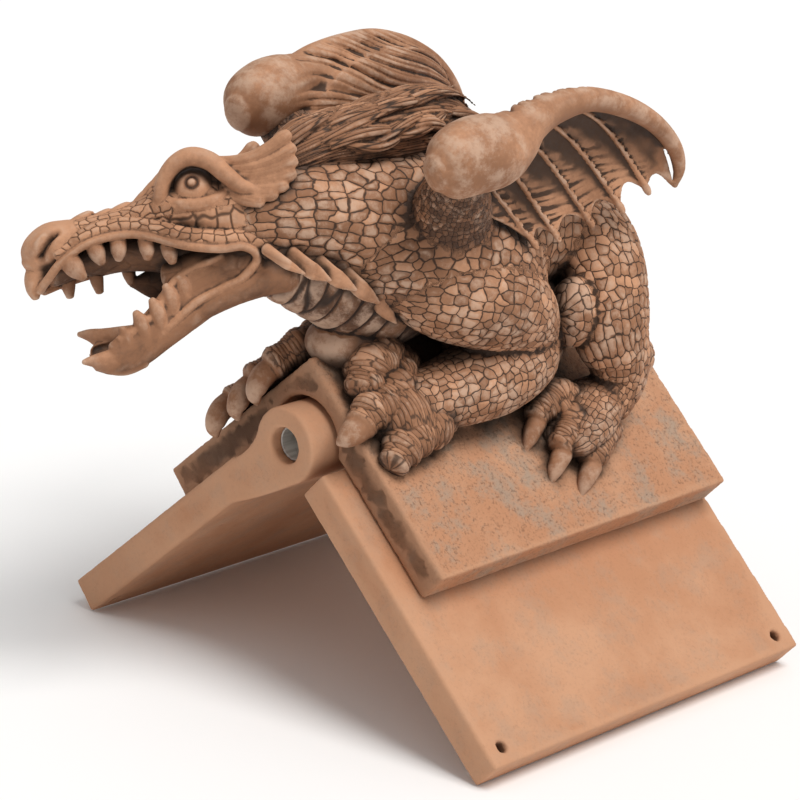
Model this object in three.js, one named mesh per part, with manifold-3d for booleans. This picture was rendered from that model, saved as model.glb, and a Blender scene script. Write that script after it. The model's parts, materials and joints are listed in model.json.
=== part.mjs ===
// Ridge beast: a terracotta winged dragon cast in one with the saddle tile it crouches on,
// over two hinged leaves that fold to the pitch of a roof ridge.
// Millimetres, +Z up. The ridge runs along Y, the dragon looks along -Y and leans its head to -X.
import * as THREE from "three";
import { mergeVertices } from "three/addons/utils/BufferGeometryUtils.js";
import Module from "manifold-3d";

const wasm = await Module();
wasm.setup();

// ---- driving dimensions ----
const leafLength = 250; // along the ridge
const pitch = THREE.MathUtils.degToRad(42); // slope of each leaf below the horizontal
const leafReach = 205.4; // hinge axis to the leaf's lower end, down the slope
const leafTop = 12.9; // leaf faces, measured square off the slope plane through the hinge axis
const leafBottom = -6.8;
const knuckleRadius = 21;
const boreRadius = 10;
const frontKnuckle = 52; // length of the left leaf's knuckle at each end
const knuckleGap = 0.6;
const leafInnerEnd = 26.5; // where a leaf stops short of the other leaf's knuckle
const pinRadius = 9.7;
const pinWall = 1.3;
const pinInset = 7;
const screwHoleRadius = 3.2;
const screwHoleReach = 195.5;
const screwHoleInset = 12;
const saddleTop = 33.8; // upper face of the saddle tile, square off the same slope plane
const saddleGap = 0.3;
const saddleReach = 107.8;
const saddleFront = 16;
const saddleBack = 248;
const saddleArch = 24;
const edgeWave = 1.6; // how far the saddle's lower edges wander down the slope, over edgeWaveLength
const edgeWaveLength = 195;

const axisHeight = leafReach * Math.sin(pitch) - leafBottom * Math.cos(pitch);
const apexHeight = axisHeight + saddleTop / Math.cos(pitch);

// The head turns to the dragon's right, dips and rolls; its joint with the neck is headBase.
const headBase = new THREE.Vector3(-12, 6, 265);
const headTurn = THREE.MathUtils.degToRad(38);
const headDip = THREE.MathUtils.degToRad(10);
const headRoll = THREE.MathUtils.degToRad(19);
const jawRoll = THREE.MathUtils.degToRad(-22); // the lower jaw hangs level, against the skull's roll

// Height of the saddle's upper face at a distance x from the ridge.
const slabHeight = (x) => apexHeight - Math.abs(x) * Math.tan(pitch);

// ---- solids ----

// A closed three.js geometry as a solid.
function solid(geometry) {
  const bare = geometry.index ? geometry.toNonIndexed() : geometry.clone();
  bare.deleteAttribute("normal");
  bare.deleteAttribute("uv");
  const merged = mergeVertices(bare, 1e-4);
  return new wasm.Manifold(
    new wasm.Mesh({
      numProp: 3,
      vertProperties: merged.attributes.position.array,
      triVerts: new Uint32Array(merged.index.array),
    }),
  );
}

function join(solids) {
  return solids.reduce((whole, piece) => whole.add(piece));
}

function geometryOf(manifold) {
  const mesh = manifold.getMesh();
  const geometry = new THREE.BufferGeometry();
  geometry.setAttribute("position", new THREE.BufferAttribute(mesh.vertProperties, 3));
  geometry.setIndex(new THREE.BufferAttribute(mesh.triVerts, 1));
  return geometry;
}

// An oval limb through stations [x, y, z, half width, half height]. `up` is the height direction.
function limbGeometry(stations, { around = 9, up = [0, 0, 1] } = {}) {
  const spine = new THREE.CatmullRomCurve3(
    stations.map(([x, y, z]) => new THREE.Vector3(x, y, z)), false, "catmullrom", 0.5);
  const girth = new THREE.CatmullRomCurve3(
    stations.map(([, , , w, h]) => new THREE.Vector3(w, h, 0)), false, "catmullrom", 0.5);
  const geometry = new THREE.CylinderGeometry(1, 1, 1, around, stations.length - 1);
  const position = geometry.attributes.position;
  const upward = new THREE.Vector3(...up);
  for (let i = 0; i < position.count; i += 1) {
    const t = THREE.MathUtils.clamp(0.5 - position.getY(i), 0, 1);
    const tangent = spine.getTangent(t);
    const side = new THREE.Vector3().crossVectors(upward, tangent).normalize();
    const top = new THREE.Vector3().crossVectors(tangent, side).normalize();
    const size = girth.getPoint(t);
    const point = spine.getPoint(t)
      .addScaledVector(side, position.getX(i) * Math.max(size.x, 0.3))
      .addScaledVector(top, position.getZ(i) * Math.max(size.y, 0.3));
    position.setXYZ(i, point.x, point.y, point.z);
  }
  return geometry;
}

const limb = (stations, options) => solid(limbGeometry(stations, options));

function ball([x, y, z], [a, b, c], around = 12) {
  const geometry = new THREE.SphereGeometry(1, around, Math.round(around * 0.6));
  geometry.scale(a, b, c);
  geometry.translate(x, y, z);
  return solid(geometry);
}

// A claw or tooth: a thin horn through three or more points, thick at the first.
function horn(points, radius, { around = 5, tip = 0.6, up = [0, 0, 1] } = {}) {
  const last = points.length - 1;
  const stations = points.map(([x, y, z], i) => {
    const r = THREE.MathUtils.lerp(radius, tip, (i / last) ** 1.4);
    return [x, y, z, r, r];
  });
  return limb(stations, { around, up });
}

// ---- hinge leaves ----

// A point of the section, `reach` down the slope and `rise` square off it, on the side named.
function slopePoint(side, reach, rise) {
  return new THREE.Vector2(
    side * (reach * Math.cos(pitch) + rise * Math.sin(pitch)),
    axisHeight - reach * Math.sin(pitch) + rise * Math.cos(pitch),
  );
}

// A section in X and Z, carried along Y from `from` to `to`.
function prism(shape, from, to, steps = 1) {
  const geometry = new THREE.ExtrudeGeometry(shape, {
    depth: to - from, bevelEnabled: false, curveSegments: 8, steps,
  });
  geometry.rotateX(Math.PI / 2);
  geometry.translate(0, to, 0);
  return geometry;
}

function plateShape(side, innerEnd) {
  const corners = [
    slopePoint(side, innerEnd, leafBottom),
    slopePoint(side, leafReach, leafBottom),
    slopePoint(side, leafReach, leafTop),
    slopePoint(side, innerEnd, leafTop),
  ];
  return new THREE.Shape(corners);
}

// The knuckle round the pin, with the swept neck that carries it into the plate.
function knuckleShape(side) {
  const shape = new THREE.Shape();
  const start = slopePoint(side, 46, leafTop);
  shape.moveTo(start.x, start.y);
  const crownReach = 14;
  const upper = slopePoint(side, crownReach + 12, leafTop - 4);
  const crown = slopePoint(side, crownReach, Math.sqrt(knuckleRadius ** 2 - crownReach ** 2));
  shape.quadraticCurveTo(upper.x, upper.y, crown.x, crown.y);
  const from = Math.atan2(crown.y - axisHeight, crown.x);
  const below = slopePoint(side, 8, -knuckleRadius + 1.6);
  const until = Math.atan2(below.y - axisHeight, below.x);
  shape.absarc(0, axisHeight, knuckleRadius, from, until, side < 0);
  const sweep = slopePoint(side, 34, -knuckleRadius + 6);
  const foot = slopePoint(side, 58, leafBottom);
  shape.quadraticCurveTo(sweep.x, sweep.y, foot.x, foot.y);
  return shape;
}

function bore(radius, from, to) {
  const geometry = new THREE.CylinderGeometry(radius, radius, to - from, 16);
  geometry.translate(0, (from + to) / 2, 0);
  geometry.translate(0, 0, axisHeight);
  return solid(geometry);
}

function screwHole(side, y) {
  const length = 60;
  const geometry = new THREE.CylinderGeometry(screwHoleRadius, screwHoleRadius, length, 10);
  geometry.rotateX(Math.PI / 2);
  geometry.rotateY(side * pitch);
  const centre = slopePoint(side, screwHoleReach, (leafTop + leafBottom) / 2);
  geometry.translate(centre.x, y, centre.y);
  return solid(geometry);
}

// One leaf: knuckles over the spans given, and a plate that stops short of the other leaf's.
function leaf(side, knuckleSpans, clearSpans) {
  const neck = 40;
  const pieces = [solid(prism(plateShape(side, neck), 0, leafLength))];
  for (const [from, to] of knuckleSpans) {
    pieces.push(solid(prism(knuckleShape(side), from, to)));
  }
  for (const [from, to] of clearSpans) {
    pieces.push(solid(prism(plateShape(side, leafInnerEnd), from, to)));
  }
  let whole = join(pieces).subtract(bore(boreRadius, -5, leafLength + 5));
  for (const y of [screwHoleInset, leafLength - screwHoleInset]) {
    whole = whole.subtract(screwHole(side, y));
  }
  return whole;
}

function leftLeaf() {
  const middle = [frontKnuckle, leafLength - frontKnuckle];
  return leaf(-1, [[0, frontKnuckle], [leafLength - frontKnuckle, leafLength]], [middle]);
}

function rightLeaf() {
  const from = frontKnuckle + knuckleGap;
  const to = leafLength - frontKnuckle - knuckleGap;
  return leaf(1, [[from, to]], [[0, from], [to, leafLength]]);
}

function hingePin() {
  const tube = bore(pinRadius, pinInset, leafLength - pinInset);
  return tube.subtract(bore(pinRadius - pinWall, 0, leafLength));
}

// ---- saddle tile ----

function saddle() {
  const under = leafTop + saddleGap;
  const archReach = Math.sqrt(saddleArch ** 2 - under ** 2);
  const crest = 28; // the ridge is rounded over from here
  const angleOf = (point) => Math.atan2(point.y - axisHeight, point.x);
  const spring = [slopePoint(1, archReach, under), slopePoint(-1, archReach, under)];
  const rounded = [slopePoint(1, -crest, saddleTop), slopePoint(-1, -crest, saddleTop)];
  const shape = new THREE.Shape([
    slopePoint(-1, saddleReach, saddleTop), slopePoint(-1, saddleReach, under), spring[1],
  ]);
  shape.absarc(0, axisHeight, saddleArch, angleOf(spring[1]), angleOf(spring[0]), true);
  for (const point of [
    slopePoint(1, saddleReach, under), slopePoint(1, saddleReach, saddleTop), rounded[0],
  ]) {
    shape.lineTo(point.x, point.y);
  }
  shape.quadraticCurveTo(0, apexHeight + edgeWave, rounded[1].x, rounded[1].y);
  const geometry = prism(shape, saddleFront, saddleBack, 4);
  // The lower edges wander a little, as hand-pressed clay does.
  const position = geometry.attributes.position;
  const lowerEdge = (saddleReach - 20) * Math.cos(pitch);
  for (let i = 0; i < position.count; i += 1) {
    const side = Math.sign(position.getX(i));
    if (Math.abs(position.getX(i)) > lowerEdge) {
      const slide = edgeWave * Math.sin((2 * Math.PI * position.getY(i)) / edgeWaveLength + side);
      position.setX(i, position.getX(i) + side * slide * Math.cos(pitch));
      position.setZ(i, position.getZ(i) - slide * Math.sin(pitch));
    }
  }
  return solid(geometry);
}

// ---- dragon: trunk and legs ----

function trunk() {
  const back = [
    [0, 234, 220, 12, 12], [0, 218, 228, 32, 28], [0, 195, 236, 45, 39], [0, 165, 240, 50, 44],
    [0, 130, 240, 52, 47], [0, 95, 243, 49, 48], [0, 68, 248, 42, 46], [-1, 42, 257, 34, 38],
    [-5, 20, 263, 29, 32], [-13, 2, 265, 26, 29], [-24, -12, 262, 23, 26],
  ];
  const throat = [
    [0, 84, 214, 30, 26], [0, 62, 216, 33, 30], [-2, 42, 224, 30, 27], [-8, 22, 232, 26, 23],
    [-18, 4, 238, 22, 18], [-30, -12, 240, 19, 13],
  ];
  return [
    limb(back, { around: 14 }),
    limb(throat, { around: 8 }),
    ...[1, -1].map((side) => ball([side * 32, 135, 186], [26, 44, 34], 7)), // belly, resting on the tile
  ];
}

function foreleg(side) {
  const upperArm = [
    [side * 22, 54, 226, 12, 14], [side * 32, 60, 227, 20, 22], [side * 42, 74, 225, 25, 27],
    [side * 49, 94, 219, 27, 28], [side * 52, 114, 209, 24, 25], [side * 52, 131, 196, 17, 19],
    [side * 51, 143, 186, 9, 10],
  ];
  const forearm = [
    [side * 51, 146, 186, 9, 10], [side * 51, 133, 180, 18, 19], [side * 49, 110, 174, 22, 23],
    [side * 46, 88, 170, 22, 21], [side * 42, 70, 167, 21, 18], [side * 38, 54, 166, 21, 16],
    [side * 37, 42, 165, 18, 13],
  ];
  return [limb(upperArm), limb(forearm)];
}

function hindLeg(side) {
  const leg = [
    [side * 20, 190, 246, 16, 26], [side * 38, 184, 233, 22, 33], [side * 50, 177, 218, 24, 35],
    [side * 59, 172, 201, 22, 34], [side * 65, 174, 183, 19, 30], [side * 67, 178, 168, 17, 26],
    [side * 67, 175, 152, 16, 21], [side * 66, 168, 138, 14, 16],
  ];
  const foot = [
    [side * 60, 186, 146, 15, 13], [side * 63, 172, 145, 20, 15], [side * 67, 158, 139, 21, 13],
    [side * 70, 146, 132, 17, 9],
  ];
  return [limb(leg, { up: [0, 1, 0] }), limb(foot, { around: 8 })];
}

// A toe over the tile, running on into its claw: [x, y, height above the tile, radius] all along.
function toe(side, joints) {
  const stations = joints.map(([x, y, rise, r]) => [side * x, y, slabHeight(x) + rise, r, r * 0.95]);
  return limb(stations, { around: 5, up: [1, 0, 0] });
}

function foreToes(side) {
  const drop = side > 0 ? -1 : -9; // the right foot's claws hang further over the tile's front edge
  const claw = (x, r) => [[x, 9, 10, r], [x - 1, 5, 2, r * 0.75], [x - 2, 7, drop, 0.8]];
  return [
    toe(side, [[28, 56, 15, 11], [22, 43, 19, 12], [22, 31, 17, 11], [27, 16, 15, 9.5], ...claw(28, 6)]),
    toe(side, [[38, 56, 15, 11], [37, 43, 19, 12], [38, 30, 16, 11], [41, 16, 15, 9.5], ...claw(42, 6.2)]),
    toe(side, [[46, 58, 13, 11], [51, 45, 16, 12], [54, 32, 14, 10.5], [57, 17, 12, 9.5], ...claw(58, 5.8)]),
    limb([[side * 24, 68, slabHeight(24) + 10, 9, 9], [side * 18, 62, slabHeight(18) + 11, 10.5, 10],
      [side * 12, 52, slabHeight(12) + 6, 7, 7]], { around: 6 }),
  ];
}

// A claw pressed down on the tile, from its root to its tip.
const hindClaw = (x, y) => [[x, y, 6, 5.5], [x + 2, y - 5, 2, 3.7], [x + 4, y - 10, -2, 0.8]];

function hindToes(side) {
  return [
    [[60, 164, 12, 11], [55, 152, 14, 11], [57, 137, 10, 8.5], ...hindClaw(59, 130)],
    [[68, 166, 12, 11], [68, 154, 14, 11.5], [72, 141, 10, 9], ...hindClaw(75, 134)],
    [[72, 176, 11, 10], [76, 167, 13, 10.5], [81, 155, 9, 8.5], ...hindClaw(84, 149)],
  ].map((joints) => toe(side, joints));
}

function tail() {
  const path = [
    [0, 222, 222, 16, 16], [-6, 238, 206, 14, 14], [-28, 242, 184, 12, 12], [-54, 236, 157, 10, 10],
    [-77, 219, 133, 8.5, 8.5], [-89, 196, 118, 7, 7], [-91, 176, 113, 5, 5], [-86, 162, 114, 2.5, 2.5],
  ];
  return limb(path, { around: 7 });
}

// ---- wings ----

const wingRim = [
  [71, 25, 298, 8, 9], [73, 36, 301, 17.5, 18.5], [74, 55, 309, 18.5, 19], [75, 75, 317.5, 14.5, 15],
  [76, 98, 325, 9.5, 10], [78, 132, 327.5, 6, 6.3], [80, 162, 319, 5.5, 5.5], [81, 186, 307, 5, 5],
  [82, 203, 292, 4.5, 4.5], [81, 211, 278, 3.5, 3.5], [79, 211, 267, 1.5, 1.5],
];

// The wing skin as a fan of ribs: [position in the fan, root, end, bow away from the chord].
const wingRibs = [
  [0, [66, 50, 290], [62, 76, 272], 0],
  [0.18, [66, 60, 300], [66, 116, 246], 1],
  [0.34, [68, 72, 309], [70, 128, 250], 2],
  [0.5, [70, 86, 317], [72, 153, 254], 3],
  [0.66, [72, 98, 322], [75, 174, 258], 5],
  [0.82, [74, 114, 326], [78, 190, 267], 10],
  [1, [77, 134, 327], [80, 211, 266], 17],
];
const skinThickness = 4;
const scallopDepth = 0.1; // share of a rib's length
const skinCup = 9;
const ribRise = 2;

function fanPoint(u, v) {
  let span = 1;
  while (span < wingRibs.length - 1 && u > wingRibs[span][0]) span += 1;
  const [u0, root0, end0, bow0] = wingRibs[span - 1];
  const [u1, root1, end1, bow1] = wingRibs[span];
  const k = (u - u0) / (u1 - u0);
  const root = new THREE.Vector3(...root0).lerp(new THREE.Vector3(...root1), k);
  const end = new THREE.Vector3(...end0).lerp(new THREE.Vector3(...end1), k);
  const along = v * (1 - scallopDepth * Math.sin(Math.PI * k));
  const point = root.lerp(end, along);
  const bow = THREE.MathUtils.lerp(bow0, bow1, k) * Math.sin(Math.PI * along);
  point.y += bow * 0.6;
  point.z += bow * 0.8;
  point.x -= skinCup * Math.sin(Math.PI * along) * Math.min(1, 4 * u);
  return { point, onRib: Math.min(k, 1 - k) < 0.01 };
}

function wing(side) {
  const ribSteps = 2;
  const across = (wingRibs.length - 1) * ribSteps;
  const geometry = new THREE.BoxGeometry(1, 1, 1, across, 3, 1);
  const position = geometry.attributes.position;
  for (let i = 0; i < position.count; i += 1) {
    const step = Math.round((position.getX(i) + 0.5) * across);
    const span = Math.min(Math.floor(step / ribSteps), wingRibs.length - 2);
    const k = step / ribSteps - span;
    const u = THREE.MathUtils.lerp(wingRibs[span][0], wingRibs[span + 1][0], k);
    const { point, onRib } = fanPoint(u, 0.5 - position.getY(i));
    const outer = position.getZ(i) > 0;
    point.x += outer ? (onRib ? ribRise : 0) : -skinThickness;
    position.setXYZ(i, point.x, point.y, point.z);
  }
  const arm = limb([
    [36, 86, 256, 15, 15], [48, 76, 268, 14, 15], [59, 64, 282, 13, 15], [67, 52, 295, 12, 12],
  ], { around: 6 });
  const whole = join([solid(geometry), limb(wingRim, { around: 7 }), arm]);
  return side > 0 ? whole : whole.mirror([1, 0, 0]);
}

// ---- mane ----

function mane() {
  const crest = [
    [-16, -4, 288, 7, 10], [-11, 10, 296, 11, 14], [-7, 28, 301, 13, 15], [-3, 48, 302, 14, 17],
    [0, 70, 303, 14, 19], [0, 92, 302, 13, 19], [0, 112, 298, 11, 16], [0, 130, 288, 8, 9],
  ];
  const tufts = [
    horn([[2, 50, 306], [1, 60, 316], [0, 68, 326]], 7),
    horn([[-2, 84, 306], [-1, 100, 314], [0, 118, 322]], 8),
    horn([[-8, 22, 300], [-7, 34, 311], [-6, 50, 316]], 7),
  ];
  return [limb(crest, { around: 8 }), ...tufts];
}

// ---- head, in its own frame: forward, to the dragon's left, up ----

function headFrame() {
  const forward = new THREE.Vector3(
    -Math.sin(headTurn) * Math.cos(headDip),
    -Math.cos(headTurn) * Math.cos(headDip),
    -Math.sin(headDip),
  );
  const level = new THREE.Vector3(Math.cos(headTurn), -Math.sin(headTurn), 0);
  const upright = new THREE.Vector3().crossVectors(forward, level);
  const left = level.clone().multiplyScalar(Math.cos(headRoll)).addScaledVector(upright, Math.sin(headRoll));
  const up = new THREE.Vector3().crossVectors(forward, left);
  return new THREE.Matrix4().makeBasis(forward, left, up).setPosition(headBase);
}

// A point of the lower jaw: along the head, across the jaw, and square off it from height `base`.
function jawPoint(along, across, rise, base) {
  const c = Math.cos(jawRoll);
  const s = Math.sin(jawRoll);
  return [along, across * c - rise * s, base + across * s + rise * c];
}

function skull() {
  const upperJaw = [
    [133, 0, -6, 9, 7], [126, 0, 1, 16, 12], [117, 0, 5, 18, 10.5], [106, 0, 8.5, 16, 7],
    [92, 0, 9, 16, 6.5], [79, 0, 9.5, 17, 7.5], [68, 0, 11, 19, 11], [57, 0, 11, 22, 16],
    [44, 0, 10, 24, 20], [28, 0, 6, 25, 24], [12, 0, 0, 25, 27], [-6, 0, -2, 24, 26],
  ];
  const beak = [[124, 0, -4], [131, 1, -12], [134, 1, -19], [134, 1, -23.5]];
  const palate = [
    [124, -4, -9, 11, 7], [110, -8, -5, 11, 8], [96, -9, -2, 11, 8], [80, -9, -2, 12, 9],
    [64, -8, -6, 14, 11], [46, -4, -12, 18, 14],
  ];
  return [
    limb(upperJaw, { around: 12 }), horn(beak, 8, { tip: 2.4, up: [0, 1, 0] }), limb(palate, { around: 7 }),
  ];
}

function lips() {
  const near = [
    [131, 4, -19], [125, 10, -13], [117, 15, -6], [104, 16.5, 1], [88.5, 17, 2.5], [74, 19, 0.5],
    [55, 23.5, -8], [38, 25, -12.5], [25, 24, -13.5], [19, 21, -20], [28, 18, -29], [52, 16.5, -39],
    [74, 13, -51],
  ].map(([a, l, u]) => [a, l, u, 2.6, 2.6]);
  const far = [
    [129, -5, -19], [116, -15, -16], [88, -18, -13], [50, -23, -15], [28, -22, -16], [22, -19, -23],
    [58, -17, -33], [76, -15, -40],
  ].map(([a, l, u]) => [a, l, u, 3, 3]);
  // The cheeks close the back of the mouth, set in behind the lips.
  const cheeks = [
    [[60, 14, -22, 3, 6], [46, 16, -22, 5, 11], [20, 15, -20, 8, 12]],
    [[90, -15, -25, 2.5, 5], [68, -17, -24, 4, 10], [44, -17, -22, 6, 11], [20, -15, -20, 8, 12]],
  ];
  return [
    ...[near, far].map((line) => limb(line, { around: 4 })),
    ...cheeks.map((line) => limb(line, { around: 6 })),
  ];
}

function lowerJaw() {
  const keel = [
    [4, 0, 0, 18, 13, -26], [22, 0, 0, 20, 12, -27], [40, 0, 0, 20, 11, -31], [58, 0, 0, 17.5, 10, -39],
    [74, 0, 0, 16, 9, -48], [88, 0, 0, 17, 9, -55], [100, 0, 0, 18, 8, -58], [108, 0, 0, 16, 5.5, -56],
  ].map(([a, q, v, w, h, base]) => [...jawPoint(a, q, v, base), w, h]);
  const hollow = [
    [58, 0, 6, 11, 7, -34], [74, 0, 7, 11, 8, -44], [90, 0, 7, 12, 8, -51], [104, 0, 6, 12, 8, -52],
    [120, 0, 8, 9, 8, -52],
  ].map(([a, q, v, w, h, base]) => [...jawPoint(a, q, v, base), w, h]);
  const up = [0, -Math.sin(jawRoll), Math.cos(jawRoll)];
  const body = limb(keel, { around: 8, up }).subtract(limb(hollow, { around: 6, up }));
  const fangs = [1, -1].map((end) => horn([
    jawPoint(96, end * 13, -1, -54), jawPoint(107, end * 16, 1, -52.5), jawPoint(115, end * 20, 0, -51),
  ], 8, { tip: 1.6, up: [0, 1, 0] }));
  return [body, ...fangs];
}

function teeth() {
  const upperNear = [
    [[112, 13, -2], [108.5, 13, -17], 5],
    [[99.5, 13.5, 1], [97.5, 13, -11], 4.6],
    [[87.5, 14, 1], [88.5, 13.5, -11], 4.4],
    [[73, 15.5, -2], [74, 15, -13], 4.2],
    [[63, 17.5, -6], [61.5, 17, -17], 4],
  ];
  const upperFar = [
    [[116, -12, -12], [116, -12, -24], 4.4],
    [[101, -14, -12], [100.5, -14, -24], 4],
    [[84, -15, -12], [83.5, -15, -22], 4],
  ];
  const lowerSpots = [[90, -50, 14], [82, -46, 15], [73, -41, 15], [64, -34, 13]];
  const lower = lowerSpots.map(([a, base, height]) => [
    jawPoint(a, 13, -4, base), jawPoint(a + 2, 12, height, base), 4.4,
  ]);
  return [...upperNear, ...upperFar, ...lower].map(([root, point, radius]) =>
    horn([root, point], radius, { up: [1, 0, 0], around: 4, tip: 1 }));
}

function eyesAndBrows() {
  const eyeRadius = 10.5;
  return [1, -1].flatMap((side) => [
    ball([45, side * 14.5, 20], [eyeRadius, eyeRadius, eyeRadius], 8),
    limb([[60, 15, 20, 3, 3], [58, 18, 28, 4, 4], [52, 21, 34, 4.5, 4.5], [44, 22, 36.5, 5, 5],
      [35, 22.5, 33, 5, 5], [28, 24, 24, 5.5, 5.5], [20, 25, 17, 4, 4]]
      .map(([a, l, u, w, h]) => [a, side * l, u, w, h]), { around: 5 }),
    limb([[57, side * 19, 15, 2.5, 2.5], [47, side * 22.5, 12.5, 3, 3], [35, side * 23, 14, 2.5, 2.5]],
      { around: 4 }),
  ]);
}

// Each ear is a fluted fan spread from behind the brow.
function ears() {
  const flutes = 5;
  const fluteDepth = 1.8;
  const earLength = 38;
  return [1, -1].map((side) => {
    const ahead = side > 0 ? 0 : 14; // the right ear is laid further forward
    const geometry = new THREE.BoxGeometry(1, 1, 1, flutes * 2, 2, 1);
    const position = geometry.attributes.position;
    for (let i = 0; i < position.count; i += 1) {
      const across = position.getX(i) + 0.5;
      const along = 0.5 - position.getY(i);
      const outer = position.getZ(i) > 0;
      const angle = THREE.MathUtils.degToRad(THREE.MathUtils.lerp(-32, 18, across));
      const reach = earLength * (0.35 + 0.65 * along) * (0.82 + 0.18 * across);
      const flute = Math.round(across * flutes * 2) % 2 ? fluteDepth : 0;
      const thickness = THREE.MathUtils.lerp(5, 2.5, along);
      const lateral = 21 + 7 * along + (outer ? thickness / 2 + flute * along : -thickness / 2);
      position.setXYZ(i,
        31 + ahead * along - reach * Math.cos(angle), side * lateral, 29 + reach * Math.sin(angle));
    }
    const made = solid(geometry);
    return made.volume() < 0 ? solid(turnedOver(geometry)) : made;
  });
}

// The same surface with its faces turned round, for a shape mapped through a mirror.
function turnedOver(geometry) {
  const index = geometry.index.array;
  for (let i = 0; i < index.length; i += 3) {
    [index[i + 1], index[i + 2]] = [index[i + 2], index[i + 1]];
  }
  return geometry;
}

function noseScutes() {
  return [[103, 14.5], [92.5, 14], [83, 15.5]].map(([a, u]) =>
    horn([[a + 7, 0, u - 2], [a - 3, 0, u + 1.8]], 4, { tip: 1.2, around: 4 }));
}

function head() {
  const pieces = [
    ...skull(), ...lips(), ...lowerJaw(), ...teeth(), ...eyesAndBrows(), ...ears(), ...noseScutes(),
  ];
  return join(pieces).transform(headFrame().elements);
}

// Leaf-shaped spikes from the corner of the mouth back along each side of the throat.
function frill() {
  const near = [[14, -24, 250], [20, -12, 246], [25, 2, 241], [29, 17, 234], [31, 33, 224]];
  const far = [[-48, 4, 246], [-45, 13, 241], [-41, 24, 234], [-36, 36, 226]];
  return [near, far].flatMap((line) => {
    const end = line[0][0] > 0 ? [31, 46, 211] : [-34, 48, 214];
    return line.map(([x, y, z], i) => {
      const next = line[i + 1] ?? end;
      const middle = [(x + next[0]) / 2, (y + next[1]) / 2, (z + next[2]) / 2];
      return limb([
        [x - Math.sign(x) * 16, y + 8, z + 6, 6, 7], [middle[0] * 0.9, middle[1], middle[2] + 2, 4, 5],
        [next[0] * 1.05, next[1] + 2, next[2] - 2, 0.6, 0.8],
      ], { around: 4 });
    });
  });
}

function dragon() {
  const pieces = [saddle(), ...trunk(), tail(), ...mane(), head(), ...frill()];
  for (const side of [1, -1]) {
    pieces.push(...foreleg(side), ...hindLeg(side), ...foreToes(side), ...hindToes(side), wing(side));
  }
  return join(pieces);
}

// ---- the scene ----

function mesh(name, manifold, colour, roughness, metalness = 0) {
  const material = new THREE.MeshStandardMaterial({ color: colour, roughness, metalness });
  const made = new THREE.Mesh(geometryOf(manifold), material);
  made.name = name;
  return made;
}

const ornament = new THREE.Group();
ornament.add(
  mesh("dragon_on_saddle", dragon(), 0xa9714f, 0.85),
  mesh("left_leaf", leftLeaf(), 0xc18a66, 0.9),
  mesh("right_leaf", rightLeaf(), 0xc18a66, 0.9),
  mesh("hinge_pin", hingePin(), 0xb9bcb8, 0.45, 0.9),
);

// The origin is the middle of the footprint, on the ground.
const box = new THREE.Box3().setFromObject(ornament);
ornament.position.set(-(box.min.x + box.max.x) / 2, -(box.min.y + box.max.y) / 2, -box.min.z);

export default ornament;
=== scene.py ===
import bpy
import json
import math
import numpy as np
from mathutils import Matrix, Vector
from mathutils.bvhtree import BVHTree
from mathutils.kdtree import KDTree

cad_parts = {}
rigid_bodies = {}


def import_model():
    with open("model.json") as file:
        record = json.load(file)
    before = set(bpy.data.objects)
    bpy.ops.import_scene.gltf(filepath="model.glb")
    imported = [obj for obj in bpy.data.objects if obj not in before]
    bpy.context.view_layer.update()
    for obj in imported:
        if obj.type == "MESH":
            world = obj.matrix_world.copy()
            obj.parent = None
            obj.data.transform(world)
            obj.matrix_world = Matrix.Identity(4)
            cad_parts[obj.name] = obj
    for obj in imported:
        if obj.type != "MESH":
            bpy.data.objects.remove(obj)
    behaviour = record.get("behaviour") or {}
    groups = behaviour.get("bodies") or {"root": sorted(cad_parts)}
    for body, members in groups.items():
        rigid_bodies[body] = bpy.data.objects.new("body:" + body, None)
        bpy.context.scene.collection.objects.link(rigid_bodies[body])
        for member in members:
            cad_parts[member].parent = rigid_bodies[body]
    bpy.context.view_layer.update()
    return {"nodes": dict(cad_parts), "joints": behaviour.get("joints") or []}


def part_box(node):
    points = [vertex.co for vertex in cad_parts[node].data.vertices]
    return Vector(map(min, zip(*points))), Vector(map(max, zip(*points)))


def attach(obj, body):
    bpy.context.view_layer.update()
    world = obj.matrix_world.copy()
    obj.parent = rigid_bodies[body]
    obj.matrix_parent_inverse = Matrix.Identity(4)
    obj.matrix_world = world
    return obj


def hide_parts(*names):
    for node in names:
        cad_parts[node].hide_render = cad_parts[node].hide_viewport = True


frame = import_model()
print("frame loaded:", ", ".join(sorted(frame["nodes"])))

# Lengths below are millimetres in the maker's drawing. Its Y starts at the front of the leaves,
# X is square to the ridge and Z starts at the ground; +X is the dragon's left.
mm = 0.001
leafLow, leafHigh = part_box("right_leaf")
drawingOrigin = np.array([0.0, leafLow.y, 0.0])
axisHeight = frame["joints"][0]["pos_m"][2] / mm
leafLength = (leafHigh.y - leafLow.y) / mm
ridgeBody = frame["joints"][0]["parent"]
leafBody = frame["joints"][0]["child"]
fineness = 1.0


def unit(v):
    v = np.asarray(v, float)
    return v / np.maximum(np.linalg.norm(v, axis=-1, keepdims=True), 1e-9)


def smoothStep(low, high, x):
    t = np.clip((x - low) / (high - low), 0, 1)
    return t * t * (3 - 2 * t)


def splineRows(rows, perSpan):
    rows = np.array(rows, float)
    ends = np.vstack([2 * rows[0] - rows[1], rows, 2 * rows[-1] - rows[-2]])
    t = (np.arange(perSpan) / perSpan)[:, None]
    spans = []
    for i in range(len(rows) - 1):
        a, b, c, d = ends[i:i + 4]
        spans.append(0.5 * (2 * b + (c - a) * t + (2 * a - 5 * b + 4 * c - d) * t ** 2
                            + (3 * b - a - 3 * c + d) * t ** 3))
    return np.vstack([*spans, rows[-1:]])


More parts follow.
